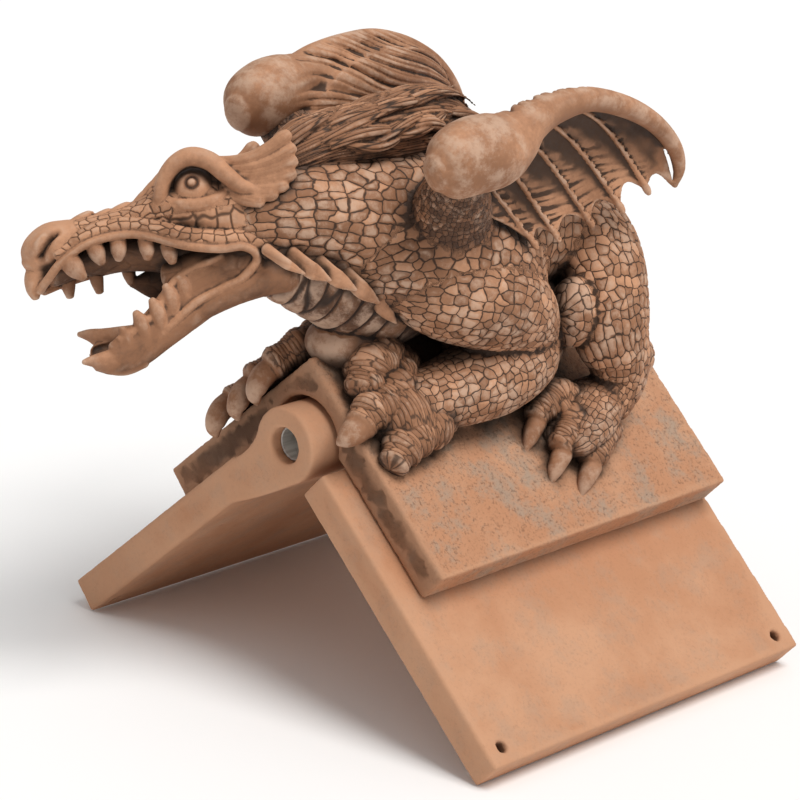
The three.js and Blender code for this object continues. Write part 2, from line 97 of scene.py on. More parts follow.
def tube(rows, finish, around=36, perSpan=8, up=(0, 0, 1), cap=0.5, seam=0.0, section=None):
    # rows are [x, y, z, half width, half height]; seam turns the place where the pattern wraps, in degrees
    line = splineRows(rows, perSpan)
    centre, size = line[:, :3], np.maximum(line[:, 3:5], 0.25)
    heading = unit(np.gradient(centre, axis=0))
    side = unit(np.cross(np.array(up, float), heading))
    top = unit(np.cross(heading, side))
    rings = [(centre[i], size[i], side[i], top[i]) for i in range(len(centre))]
    if cap:
        for turn in (30, 55, 75):
            s, c = math.sin(math.radians(turn)), math.cos(math.radians(turn))
            first, last = size[0].mean() * cap * s, size[-1].mean() * cap * s
            rings.insert(0, (centre[0] - heading[0] * first, size[0] * c, side[0], top[0]))
            rings.append((centre[-1] + heading[-1] * last, size[-1] * c, side[-1], top[-1]))
    angle = np.linspace(0, 2 * math.pi, around, endpoint=False)
    across, upward = section or (np.sin(angle), np.cos(angle))
    around = len(across)
    co = np.array([c + np.outer(across * s[0], sd) + np.outer(upward * s[1], tp) for c, s, sd, tp in rings])
    count = len(rings)
    verts = np.vstack([co.reshape(-1, 3), co[0].mean(0), co[-1].mean(0)])
    i, j = np.meshgrid(np.arange(count - 1), np.arange(around), indexing="ij")
    k = (j + 1) % around
    quads = np.stack([i * around + j, (i + 1) * around + j, (i + 1) * around + k, i * around + k], -1)
    j = np.arange(around)
    k = (j + 1) % around
    south, north, last = len(verts) - 2, len(verts) - 1, (count - 1) * around
    tris = np.vstack([np.stack([np.full(around, south), j, k], -1),
                      np.stack([np.full(around, north), last + k, last + j], -1)])
    return {"verts": verts, "faces": quads.reshape(-1, 4).tolist() + tris.tolist(), "finish": finish,
            "line": centre, "size": size, "side": side, "top": top, "seam": math.radians(seam)}


def ball(centre, radii, finish, around=36):
    x, y, z = centre
    a, b, c = radii
    turns = np.radians([-84, -65, -40, -15, 15, 40, 65, 84])
    rows = [[x, y + b * math.sin(t), z, a * math.cos(t), c * math.cos(t)] for t in turns]
    return tube(rows, finish, around=around, perSpan=4, cap=0.1)


def horn(points, radius, finish, tip=0.6, flat=1.0, up=(0, 0, 1), around=20, power=1.4):
    last = len(points) - 1
    rows = []
    for i, (x, y, z) in enumerate(points):
        r = radius + (tip - radius) * (i / last) ** power
        rows.append([x, y, z, r, r * flat])
    return tube(rows, finish, around=around, perSpan=8, up=up)


def meshObject(name, verts, faces):
    mesh = bpy.data.meshes.new(name)
    mesh.from_pydata((np.asarray(verts) * mm + drawingOrigin).tolist(), [], faces)
    mesh.update()
    made = bpy.data.objects.new(name, mesh)
    bpy.context.scene.collection.objects.link(made)
    return made


def joined(name, parts):
    verts, faces, offset = [], [], 0
    for part in parts:
        verts.append(part["verts"])
        faces += [[v + offset for v in face] for face in part["faces"]]
        offset += len(part["verts"])
    return meshObject(name, np.vstack(verts), faces)


def bake(piece):
    # the evaluated mesh takes the place of the piece's own, and its modifiers go
    graph = bpy.context.evaluated_depsgraph_get()
    old = piece.data
    new = bpy.data.meshes.new_from_object(piece.evaluated_get(graph), depsgraph=graph)
    piece.modifiers.clear()
    piece.data = new
    new.name = piece.name
    bpy.data.meshes.remove(old)


def fuse(name, parts, grain, soften=2):
    # all parts pressed into one skin of clay; grain is the size of its faces
    piece = joined(name, parts)
    remesh = piece.modifiers.new("fuse", "REMESH")
    remesh.mode = "VOXEL"
    remesh.voxel_size = grain * fineness * mm
    if soften:
        smooth = piece.modifiers.new("soften", "SMOOTH")
        smooth.iterations = soften
        smooth.factor = 0.5
    bake(piece)
    return piece


def readCo(piece):
    co = np.empty(len(piece.data.vertices) * 3)
    piece.data.vertices.foreach_get("co", co)
    return (co.reshape(-1, 3) - drawingOrigin) / mm


def writeCo(piece, co):
    piece.data.vertices.foreach_set("co", (co * mm + drawingOrigin).astype(np.float32).ravel())
    piece.data.update()


def readNormals(piece):
    normals = np.empty(len(piece.data.vertices) * 3, np.float32)
    piece.data.vertex_normals.foreach_get("vector", normals)
    return normals.reshape(-1, 3).astype(float)


def readEdges(piece):
    edges = np.empty(len(piece.data.edges) * 2, np.int32)
    piece.data.edges.foreach_get("vertices", edges)
    return edges.reshape(-1, 2)


def writeAttribute(piece, name, values):
    kind = "FLOAT" if values.ndim == 1 else "FLOAT_VECTOR"
    layer = piece.data.attributes.get(name) or piece.data.attributes.new(name, kind, "POINT")
    layer.data.foreach_set("value" if values.ndim == 1 else "vector", values.astype(np.float32).ravel())


def relaxed(edges, values, times):
    # each vertex takes on the mean of its neighbours, the given number of times
    count = len(values)
    degree = np.maximum(np.bincount(edges.ravel(), minlength=count), 1)
    flat = values.reshape(count, -1)
    for _ in range(times):
        flat = np.stack([
            (np.bincount(edges[:, 0], flat[edges[:, 1], k], count)
             + np.bincount(edges[:, 1], flat[edges[:, 0], k], count)) / degree
            for k in range(flat.shape[1])], -1)
    return flat.reshape(values.shape)


# cell: size of a plate or crease along and around the limb; depth of its edges; clay: 0 dark .. 1 pale

finishes = {
    "neckPlates": dict(cell=(6.8, 6.4), depth=0.60, clay=0.52),
    "bodyPlates": dict(cell=(6.2, 5.8), depth=0.55, clay=0.52),
    "limbPlates": dict(cell=(5.2, 4.7), depth=0.50, clay=0.58),
    "finePlates": dict(cell=(3.8, 3.3), depth=0.45, clay=0.40),
    "stubPlates": dict(cell=(3.6, 3.0), depth=0.55, clay=0.22),
    "toeFolds": dict(cell=(2.1, 12.0), depth=0.34, clay=0.44),
    "throatBands": dict(cell=(9.0, 90.0), depth=1.30, clay=0.16),
    "hair": dict(cell=(38.0, 1.7), depth=0.60, clay=0.40),
    "flute": dict(cell=(80.0, 3.0), depth=0.12, clay=0.66),
    "lobe": dict(cell=(70.0, 7.0), depth=0.35, clay=0.62),
    "smooth": dict(cell=(30.0, 30.0), depth=0.0, clay=0.74),
    "mouth": dict(cell=(14.0, 9.0), depth=0.15, clay=0.22),
    "tooth": dict(cell=(30.0, 30.0), depth=0.0, clay=0.55),
    "claw": dict(cell=(30.0, 30.0), depth=0.0, clay=0.50),
    "stone": dict(cell=(30.0, 30.0), depth=0.0, clay=0.40),
}


def locate(part, points):
    # how far each point is from the part's skin, and where on it: along its spine and around it
    start, step = part["line"][:-1], np.diff(part["line"], axis=0)
    length = np.linalg.norm(step, axis=1)
    gap = points[:, None, :] - start[None]
    t = np.clip((gap * step[None]).sum(-1) / np.maximum(length ** 2, 1e-9), 0, 1)
    miss = gap - t[..., None] * step[None]
    best = (miss ** 2).sum(-1).argmin(1)
    pick = np.arange(len(points))
    t, miss = t[pick, best], miss[pick, best]
    side, top, size = (part[key][best] * (1 - t)[:, None] + part[key][best + 1] * t[:, None]
                       for key in ("side", "top", "size"))
    a, b = (miss * side).sum(1), (miss * top).sum(1)
    past = np.sqrt(np.maximum((miss ** 2).sum(1) - a ** 2 - b ** 2, 0))
    rho = np.sqrt((a / size[:, 0]) ** 2 + (b / size[:, 1]) ** 2)
    away = np.abs(rho - 1) * size.min(1) + past * 0.7
    turn = np.arctan2(a, b) - part["seam"]
    turn = (turn + math.pi) % (2 * math.pi) - math.pi
    along = np.concatenate([[0], np.cumsum(length)])[best] + t * length[best]
    return away, along, turn * part["size"].mean()


def clothe(piece, parts, fade=4):
    # every vertex learns which part's finish it wears, and where its plates lie
    co = readCo(piece)
    nearest = np.full(len(co), 1e9)
    hideMap = np.zeros((len(co), 3))
    depth, clay, owner = np.zeros(len(co)), np.full(len(co), 0.5), np.zeros(len(co), int)
    for index, part in enumerate(parts):
        finish = finishes[part["finish"]]
        low, high = part["verts"].min(0) - 2.5, part["verts"].max(0) + 2.5
        near = np.nonzero(((co > low) & (co < high)).all(1))[0]
        for chunk in np.array_split(near, max(1, len(near) // 40000)):
            if not len(chunk):
                continue
            away, along, around = locate(part, co[chunk])
            away = away + part.get("shy", 0.0)
            win = away < nearest[chunk]
            won = chunk[win]
            nearest[won] = away[win]
            hideMap[won] = np.stack([along[win] / finish["cell"][0] + 13.7 * index,
                                     around[win] / finish["cell"][1] + 5.3 * index,
                                     np.zeros(win.sum())], -1)
            depth[won] = finish["depth"]
            clay[won] = finish["clay"]
            owner[won] = index
    edges = readEdges(piece)
    writeAttribute(piece, "hideMap", hideMap)
    writeAttribute(piece, "hideDepth", relaxed(edges, depth, fade))
    writeAttribute(piece, "clay", relaxed(edges, clay, fade * 3))
    return owner


def stroke(co, push, points, width, height, sharp=1.0):
    # a ridge (height above 0) or a groove (below 0) laid along a line of points
    line = splineRows(points, 8)
    low, high = line.min(0) - 3 * width, line.max(0) + 3 * width
    near = np.nonzero(((co > low) & (co < high)).all(1))[0]
    if not len(near):
        return
    start, step = line[:-1], np.diff(line, axis=0)
    gap = co[near][:, None, :] - start[None]
    t = np.clip((gap * step[None]).sum(-1) / np.maximum((step ** 2).sum(-1), 1e-9), 0, 1)
    away = np.sqrt(((gap - t[..., None] * step[None]) ** 2).sum(-1).min(1))
    profile = np.exp(-(away / width) ** (2 * sharp))
    push[near] += height * profile


def node(tree, kind, settings=None, **inputs):
    made = tree.nodes.new(kind)
    for key, value in (settings or {}).items():
        setattr(made, key, value)
    for key, value in inputs.items():
        name = int(key[1:]) if key[0] == "_" else key.replace("_", " ")
        if isinstance(value, bpy.types.NodeSocket):
            tree.links.new(value, made.inputs[name])
        else:
            made.inputs[name].default_value = value
    return made


def calc(tree, operation, a, b=0.0, c=0.0):
    return node(tree, "ShaderNodeMath", {"operation": operation}, _0=a, _1=b, _2=c).outputs[0]


def ramp(tree, value, low, high, to=(0.0, 1.0)):
    return node(tree, "ShaderNodeMapRange", {"interpolation_type": "SMOOTHSTEP"}, Value=value,
                From_Min=low, From_Max=high, To_Min=to[0], To_Max=to[1]).outputs["Result"]


def plateEdges(tree, hideMap):
    # distance to the nearest crack, and a chance number for each plate; both trees below share it
    wobble = node(tree, "ShaderNodeTexNoise", {"noise_dimensions": "2D"}, Vector=hideMap, Scale=0.55,
                  Detail=2.0)
    shift = node(tree, "ShaderNodeVectorMath", {"operation": "SUBTRACT"},
                 _0=wobble.outputs["Color"], _1=(0.5, 0.5, 0.5)).outputs[0]
    shift = node(tree, "ShaderNodeVectorMath", {"operation": "SCALE"}, _0=shift, Scale=0.8).outputs[0]
    place = node(tree, "ShaderNodeVectorMath", {"operation": "ADD"}, _0=hideMap, _1=shift).outputs[0]
    rule = {"voronoi_dimensions": "2D"}
    edge = node(tree, "ShaderNodeTexVoronoi", {**rule, "feature": "DISTANCE_TO_EDGE"},
                Vector=place, Scale=1.0, Randomness=0.66).outputs["Distance"]
    chance = node(tree, "ShaderNodeTexVoronoi", {**rule, "feature": "F1"},
                  Vector=place, Scale=1.0, Randomness=0.66).outputs["Color"]
    return edge, chance


def addInput(tree, name, kind, value=None):
    made = tree.interface.new_socket(name, in_out="INPUT", socket_type=kind)
    if value is not None:
        made.default_value = value
    return made


def hideReliefTree():
    # cuts the cracks between plates into the clay, swells each plate and leaves the tool's small marks
    tree = bpy.data.node_groups.new("hide relief", "GeometryNodeTree")
    addInput(tree, "Geometry", "NodeSocketGeometry")
    addInput(tree, "Crack Width", "NodeSocketFloat", 0.16)
    addInput(tree, "Plate Swell", "NodeSocketFloat", 0.35)
    addInput(tree, "Tool Marks", "NodeSocketFloat", 0.12)
    addInput(tree, "Material", "NodeSocketMaterial")
    tree.interface.new_socket("Geometry", in_out="OUTPUT", socket_type="NodeSocketGeometry")
    start, end = node(tree, "NodeGroupInput"), node(tree, "NodeGroupOutput")
    hideMap = node(tree, "GeometryNodeInputNamedAttribute", {"data_type": "FLOAT_VECTOR"},
                   Name="hideMap").outputs["Attribute"]
    depth = node(tree, "GeometryNodeInputNamedAttribute", {"data_type": "FLOAT"},
                 Name="hideDepth").outputs["Attribute"]
    edge, chance = plateEdges(tree, hideMap)
    crack = ramp(tree, edge, 0.0, start.outputs["Crack Width"], (-1.0, 0.0))
    swell = calc(tree, "MULTIPLY", ramp(tree, edge, 0.0, 0.45), start.outputs["Plate Swell"])
    lift = calc(tree, "MULTIPLY", calc(tree, "SUBTRACT", node(
        tree, "ShaderNodeSeparateXYZ", Vector=chance).outputs[0], 0.5), 0.3)
    height = calc(tree, "MULTIPLY", calc(tree, "ADD", calc(tree, "ADD", crack, swell), lift), depth)
    place = node(tree, "GeometryNodeInputPosition").outputs[0]
    marks = node(tree, "ShaderNodeTexNoise", Vector=place, Scale=230.0, Detail=3.0).outputs["Fac"]
    marks = calc(tree, "MULTIPLY", calc(tree, "SUBTRACT", marks, 0.5), start.outputs["Tool Marks"])
    height = calc(tree, "MULTIPLY", calc(tree, "ADD", height, calc(tree, "MULTIPLY", marks, 2.0)), mm)
    normal = node(tree, "GeometryNodeInputNormal").outputs[0]
    offset = node(tree, "ShaderNodeVectorMath", {"operation": "SCALE"}, _0=normal, Scale=height).outputs[0]
    moved = node(tree, "GeometryNodeSetPosition", Geometry=start.outputs["Geometry"], Offset=offset)
    real = node(tree, "GeometryNodeRealizeInstances", Geometry=moved.outputs[0])
    coated = node(tree, "GeometryNodeSetMaterial", Geometry=real.outputs[0],
                  Material=start.outputs["Material"])
    tree.links.new(coated.outputs[0], end.inputs[0])
    return tree


def addTree(piece, tree, **values):
    modifier = piece.modifiers.new(tree.name, "NODES")
    modifier.node_group = tree
    for item in tree.interface.items_tree:
        if item.item_type == "SOCKET" and item.in_out == "INPUT" and item.name in values:
            modifier[item.identifier] = values[item.name]
    return modifier


def relieve(piece, material, budget, crackWidth=0.16, swell=0.35, marks=0.12):
    addTree(piece, hideRelief, **{"Crack Width": crackWidth, "Plate Swell": swell, "Tool Marks": marks,
                                  "Material": material})
    bake(piece)
    thin(piece, budget)
    wearAndHollows(piece)
    piece.data.shade_smooth()
    count = sum(len(p.vertices) - 2 for p in piece.data.polygons)
    print(f"{piece.name}: {count} triangles")


def thin(piece, budget):
    count = int(sum(len(p.vertices) - 2 for p in piece.data.polygons))
    if count > budget:
        fewer = piece.modifiers.new("thin", "DECIMATE")
        fewer.ratio = budget / count
        fewer.use_collapse_triangulate = True
        bake(piece)


def wearAndHollows(piece):
    # raised edges are rubbed pale and small hollows keep the dark wash, by how far a vertex stands out; the
    # broad measure gives painted shade in broad hollows
    co, normals, edges = readCo(piece), readNormals(piece), readEdges(piece)
    near = relaxed(edges, co, 4)
    wide = relaxed(edges, near, 26)
    small = ((near - co) * normals).sum(1)
    large = ((wide - co) * normals).sum(1)
    writeAttribute(piece, "hollow", relaxed(edges, small, 1))
    writeAttribute(piece, "broadHollowShade", relaxed(edges, large, 3))


def gatherPaintedShade(pieces, samples=6500, rays=20, reach=42.0):
    # painted shade where little light reaches: rays from the skin, the share that meets clay close by
    chance = np.random.default_rng(11)
    verts, faces, offset = [], [], 0
    for piece in pieces:
        co = readCo(piece)
        faces += [[v + offset for v in p.vertices] for p in piece.data.polygons]
        verts.append(co)
        offset += len(co)
    whole = BVHTree.FromPolygons(np.vstack(verts).tolist(), faces)
    turn, rise = chance.uniform(0, 2 * math.pi, rays), np.sqrt(chance.uniform(0, 1, rays))
    fan = np.stack([rise * np.cos(turn), rise * np.sin(turn), np.sqrt(1 - rise ** 2)], -1)
    for piece in pieces:
        co, normals = readCo(piece), readNormals(piece)
        picked = chance.permutation(len(co))[:samples]
        found = KDTree(len(picked))
        occlusionShade = np.zeros(len(picked))
        for n, i in enumerate(picked):
            up = normals[i]
            side = unit(np.cross(up, (0.37, 0.61, 0.7)))
            rays3 = fan @ np.array([side, np.cross(up, side), up])
            start = Vector(co[i] + up * 0.8)
            for ray in rays3.tolist():
                hit = whole.ray_cast(start, ray, reach)[3]
                if hit is not None:
                    occlusionShade[n] += (1 - hit / reach) / rays
            found.insert(co[i] + up * 2.0, n)
        found.balance()
        spread = np.zeros(len(co))
        for i, place in enumerate((co + normals * 2.0).tolist()):
            near = found.find_n(place, 4)
            weights = [1 / (distance + 0.5) for _, _, distance in near]
            spread[i] = sum(w * occlusionShade[n] for w, (_, n, _) in zip(weights, near)) / sum(weights)
        writeAttribute(piece, "occlusionShade", relaxed(readEdges(piece), spread, 3))
        # painted light: how much each vertex faces up, which makes tops paler and undersides darker
        writeAttribute(piece, "upFacingLight", relaxed(readEdges(piece), normals[:, 2].copy(), 6))
        # painted shade: how much each vertex faces the front (-Y)
        writeAttribute(piece, "frontFacingShade", relaxed(readEdges(piece), np.maximum(-normals[:, 1], 0), 4))
    print("wash gathered in the hollows")


def readAttribute(tree, name, output="Fac"):
    return node(tree, "ShaderNodeAttribute", {"attribute_type": "GEOMETRY",
                                              "attribute_name": name}).outputs[output]


def mixColour(tree, amount, a, b, blend="MIX"):
    made = node(tree, "ShaderNodeMix", {"data_type": "RGBA", "blend_type": blend, "clamp_factor": True})
    for socket, value in ((made.inputs[0], amount), (made.inputs[6], a), (made.inputs[7], b)):
        if isinstance(value, bpy.types.NodeSocket):
            tree.links.new(value, socket)
        else:
            socket.default_value = value
    return made.outputs[2]


def colour(r, g, b):
    # from screen values, 0 to 255
    return tuple((c / 255 / 12.92 if c / 255 <= 0.04045 else ((c / 255 + 0.055) / 1.055) ** 2.4)
                 for c in (r, g, b)) + (1.0,)


clayLook = dict(
    dark=colour(88, 60, 43), middle=colour(146, 102, 73), pale=colour(200, 148, 113),
    # the darkest colour is the dark wash of small hollows and cracks and also serves as painted shade
    washAndShade=colour(40, 27, 19), rub=colour(208, 176, 152), roughness=0.7,
)


def paintedClay(name, cracks=True):
    # fired clay with a dark wash left in every small hollow and its raised edges rubbed pale; painted shade
    # darkens broad hollows and places little light reaches, and painted light makes up-facing skin paler
    material = bpy.data.materials.new(name)
    material.use_nodes = True
    tree = material.node_tree
    shader = tree.nodes["Principled BSDF"]
    place = node(tree, "ShaderNodeTexCoord").outputs["Object"]
    clay, hollow, broadHollowShade, occlusionShade, upFacingLight = (readAttribute(tree, n) for n in ("clay", "hollow", "broadHollowShade", "occlusionShade", "upFacingLight"))
    cloud = node(tree, "ShaderNodeTexNoise", Vector=place, Scale=28.0, Detail=5.0,
                 Roughness=0.6).outputs["Fac"]
    grain = node(tree, "ShaderNodeTexNoise", Vector=place, Scale=420.0, Detail=4.0,
                 Roughness=0.65).outputs["Fac"]
    tone = calc(tree, "ADD", clay, calc(tree, "MULTIPLY", calc(tree, "SUBTRACT", cloud, 0.5), 0.9))
    tone = calc(tree, "ADD", tone, calc(tree, "MULTIPLY", calc(tree, "SUBTRACT", grain, 0.5), 0.35))
    if cracks:
        hideMap = readAttribute(tree, "hideMap", "Vector")
        depth = readAttribute(tree, "hideDepth")
        edge, chance = plateEdges(tree, hideMap)
        each = node(tree, "ShaderNodeSeparateXYZ", Vector=chance).outputs[0]
        each = calc(tree, "MULTIPLY", calc(tree, "SUBTRACT", each, 0.5), calc(tree, "MINIMUM", depth, 0.5))
        tone = calc(tree, "ADD", tone, calc(tree, "MULTIPLY", each, 0.9))
        line = calc(tree, "MULTIPLY", ramp(tree, edge, 0.02, 0.1, (1.0, 0.0)), ramp(tree, depth, 0.05, 0.45))
    # painted light and shade: up-facing skin is made paler and down-facing skin darker
    tone = calc(tree, "ADD", tone, calc(tree, "MULTIPLY", upFacingLight, 0.14))
    low = mixColour(tree, ramp(tree, tone, 0.0, 0.5), clayLook["dark"], clayLook["middle"])
    base = mixColour(tree, ramp(tree, tone, 0.45, 1.0), low, clayLook["pale"])
    dusty = node(tree, "ShaderNodeTexNoise", Vector=place, Scale=70.0, Detail=6.0,
                 Roughness=0.7).outputs["Fac"]
    rubbed = calc(tree, "MULTIPLY", ramp(tree, hollow, -0.04, -0.3), ramp(tree, dusty, 0.4, 0.62))
    base = mixColour(tree, calc(tree, "MULTIPLY", rubbed, 0.62), base, clayLook["rub"])
    # dark wash in small hollows and along the cracks, and painted shade in broad hollows
    washedAndShaded = calc(tree, "MAXIMUM", ramp(tree, hollow, 0.04, 0.26), calc(
        tree, "MULTIPLY", ramp(tree, broadHollowShade, 0.3, 2.2), 0.85))
    if cracks:
        washedAndShaded = calc(tree, "MAXIMUM", washedAndShaded, line)
    base = mixColour(tree, calc(tree, "MULTIPLY", washedAndShaded, 0.88), base, clayLook["washAndShade"])
    # painted shade: the skin is darkened where the rays met clay close by
    occlusionDarkening = ramp(tree, calc(tree, "ADD", occlusionShade, calc(tree, "MULTIPLY", calc(
        tree, "SUBTRACT", cloud, 0.5), 0.35)), 0.16, 0.64, (0.0, 0.88))
    base = mixColour(tree, occlusionDarkening, base, clayLook["washAndShade"])
    tree.links.new(base, shader.inputs["Base Color"])
    tree.links.new(ramp(tree, grain, 0.3, 0.7, (clayLook["roughness"] - 0.1, clayLook["roughness"] + 0.1)),
                   shader.inputs["Roughness"])
    shader.inputs["Specular IOR Level"].default_value = 0.35
    height = calc(tree, "MULTIPLY", grain, 0.35)
    if cracks:
        height = calc(tree, "SUBTRACT", height, calc(tree, "MULTIPLY", line, 0.8))
    bump = node(tree, "ShaderNodeBump", Height=height, Strength=0.55, Distance=0.0006)
    tree.links.new(bump.outputs[0], shader.inputs["Normal"])
    return material


slabLook = dict(
    base=colour(186, 134, 100), pale=colour(198, 150, 117), grey=colour(164, 144, 126),
    # the dark colour is real dirt in the sandy pits and also serves as painted shade on front faces and in
    # broad hollows
    dirtAndShade=colour(96, 69, 51), roughness=0.82,
)


def pressedClay(name, sandy):
    # the tile and leaves: plain pressed clay, sandy with pits on the tile and smoother on the leaves
    material = bpy.data.materials.new(name)
    material.use_nodes = True
    tree = material.node_tree
    shader = tree.nodes["Principled BSDF"]
    place = node(tree, "ShaderNodeTexCoord").outputs["Object"]
    hollow, broadHollowShade, occlusionShade = (readAttribute(tree, n) for n in ("hollow", "broadHollowShade", "occlusionShade"))
    cloud = node(tree, "ShaderNodeTexNoise", Vector=place, Scale=14.0, Detail=6.0,
                 Roughness=0.62).outputs["Fac"]
    patch = node(tree, "ShaderNodeTexNoise", Vector=place, Scale=42.0, Detail=6.0,
                 Roughness=0.7).outputs["Fac"]
    sand = node(tree, "ShaderNodeTexNoise", Vector=place, Scale=520.0, Detail=4.0,
                Roughness=0.75).outputs["Fac"]
    base = mixColour(tree, ramp(tree, cloud, 0.35, 0.65), slabLook["base"], slabLook["pale"])
    greyed = ramp(tree, patch, 0.44, 0.66, (0.0, 0.85 if sandy else 0.3))
    base = mixColour(tree, greyed, base, slabLook["grey"])
    frontFacingShade = readAttribute(tree, "frontFacingShade")
    speck = calc(tree, "MULTIPLY", ramp(tree, sand, 0.5, 0.34), 0.62 if sandy else 0.16)
    speck = calc(tree, "MULTIPLY", speck, ramp(tree, patch, 0.3, 0.55, (0.4, 1.0)))
    base = mixColour(tree, speck, base, slabLook["dirtAndShade"])
    # painted shade: faces turned to the front (-Y) are darkened
    frontShading = calc(tree, "MULTIPLY", frontFacingShade, ramp(tree, cloud, 0.25, 0.6, (0.6, 1.0)))
    base = mixColour(tree, frontShading, base, slabLook["dirtAndShade"])
    # stain in small pits and hollows, and painted shade in broad hollows
    stain = calc(tree, "MAXIMUM", ramp(tree, hollow, 0.05, 0.3), ramp(tree, broadHollowShade, 0.8, 3.5))
    base = mixColour(tree, calc(tree, "MULTIPLY", stain, 0.6), base, slabLook["dirtAndShade"])
    # painted shade: the tile is darkened where the rays met clay close by
    base = mixColour(tree, ramp(tree, calc(tree, "ADD", occlusionShade, calc(tree, "MULTIPLY", calc(
        tree, "SUBTRACT", patch, 0.5), 0.3)), 0.1, 0.6, (0.0, 0.85)), base, clayLook["washAndShade"])
    base = mixColour(tree, ramp(tree, hollow, -0.05, -0.3, (0.0, 0.5)), base, slabLook["pale"])
    tree.links.new(base, shader.inputs["Base Color"])
    shader.inputs["Roughness"].default_value = slabLook["roughness"]
    shader.inputs["Specular IOR Level"].default_value = 0.3
    height = calc(tree, "ADD", calc(tree, "MULTIPLY", sand, 0.6 if sandy else 0.25), patch)
    bump = node(tree, "ShaderNodeBump", Height=height, Strength=0.9 if sandy else 0.35,
                Distance=0.0009 if sandy else 0.0005)
    tree.links.new(bump.outputs[0], shader.inputs["Normal"])
    return material


hideRelief = hideReliefTree()
dragonClay = paintedClay("dragon clay")
tileClay = pressedClay("tile clay", True)
leafClay = pressedClay("leaf clay", False)
print("materials ready")


leafShape = dict(
    pitch=math.radians(42), reach=205.4, top=12.9, bottom=-6.8, knuckle=21.0, bore=10.0,
    frontKnuckle=52.0, gap=0.6, innerEnd=26.5, screwRadius=3.2, screwReach=195.5, screwInset=12.0,
    wobble=0.35, rounding=3, pits=0.12,
)
tileShape = dict(top=33.8, gap=0.3, reach=107.8, front=16.0, back=248.0, arch=24.0,
                 wobble=0.9, rounding=4, pits=0.45)
apexHeight = axisHeight + tileShape["top"] / math.cos(leafShape["pitch"])


def slopePoint(side, reach, rise):
    # `reach` down the slope from the hinge axis and `rise` square off it
    p = leafShape["pitch"]
    return (side * (reach * math.cos(p) + rise * math.sin(p)),
            axisHeight - reach * math.sin(p) + rise * math.cos(p))


def slabHeight(x):
    return apexHeight - abs(x) * math.tan(leafShape["pitch"])


def arc(radius, fromPoint, toPoint, turn, steps=40):
    a = math.atan2(fromPoint[1] - axisHeight, fromPoint[0])
    b = math.atan2(toPoint[1] - axisHeight, toPoint[0])
    if turn > 0 and b < a:
        b += 2 * math.pi
    if turn < 0 and b > a:
        b -= 2 * math.pi
    angles = [a + (b - a) * i / steps for i in range(steps + 1)]
    return [(radius * math.cos(angle), axisHeight + radius * math.sin(angle)) for angle in angles]


def bend(start, middle, end, steps=14):
    return [tuple((1 - t) ** 2 * s + 2 * t * (1 - t) * m + t * t * e for s, m, e in zip(start, middle, end))
            for t in (i / steps for i in range(1, steps))]


def prism(name, outline, low, high):
    # a section in X and Z carried along Y
    count = len(outline)
    area = sum(outline[i][0] * outline[(i + 1) % count][1] - outline[(i + 1) % count][0] * outline[i][1]
               for i in range(count))
    outline = outline if area > 0 else outline[::-1]
    verts = [(x, y, z) for y in (low, high) for x, z in outline]
    faces = [list(range(count)), list(range(2 * count - 1, count - 1, -1))]
    faces += [[(i + 1) % count, i, count + i, count + (i + 1) % count] for i in range(count)]
    return meshObject(name, verts, faces)


def merge(piece, others, operation="UNION"):
    for other in others:
        cut = piece.modifiers.new("merge", "BOOLEAN")
        cut.operation = operation
        cut.solver = "EXACT"
        cut.object = other
        bake(piece)
        bpy.data.objects.remove(other)


def rod(name, radius, start, end, steps=48):
    # a plain round cutter between two points
    made = tube([[*start, radius, radius], [*end, radius, radius]], "smooth", around=steps, perSpan=1,
                up=(0.3, 0.2, 1), cap=0)
    return meshObject(name, made["verts"], made["faces"])


def plateOutline(side, innerEnd):
    s = leafShape
    return [slopePoint(side, innerEnd, s["bottom"]), slopePoint(side, s["reach"], s["bottom"]),
            slopePoint(side, s["reach"], s["top"]), slopePoint(side, innerEnd, s["top"])]


def knuckleOutline(side):
    s = leafShape
    crownReach = 14.0
    start, crown = slopePoint(side, 46, s["top"]), slopePoint(side, crownReach,
                                                              math.sqrt(s["knuckle"] ** 2 - crownReach ** 2))
    below, foot = slopePoint(side, 8, -s["knuckle"] + 1.6), slopePoint(side, 58, s["bottom"])
    return [start, *bend(start, slopePoint(side, crownReach + 12, s["top"] - 4), crown),
            *arc(s["knuckle"], crown, below, side),
            *bend(below, slopePoint(side, 34, -s["knuckle"] + 6), foot), foot]


def pressed(piece, material, grain, shape, budget):
    # a slab takes the slight wander and soft edges of hand-pressed clay
    remesh = piece.modifiers.new("press", "REMESH")
    remesh.mode = "VOXEL"
    remesh.voxel_size = grain * fineness * mm
    soften = piece.modifiers.new("soften", "SMOOTH")
    soften.iterations = shape["rounding"]
    soften.factor = 0.5
    bake(piece)
    addTree(piece, slabRelief, Wander=shape["wobble"], Pits=shape["pits"], Material=material)
    bake(piece)
    thin(piece, budget)
    wearAndHollows(piece)
    piece.data.shade_smooth()
    print(f"{piece.name}: {sum(len(p.vertices) - 2 for p in piece.data.polygons)} triangles")


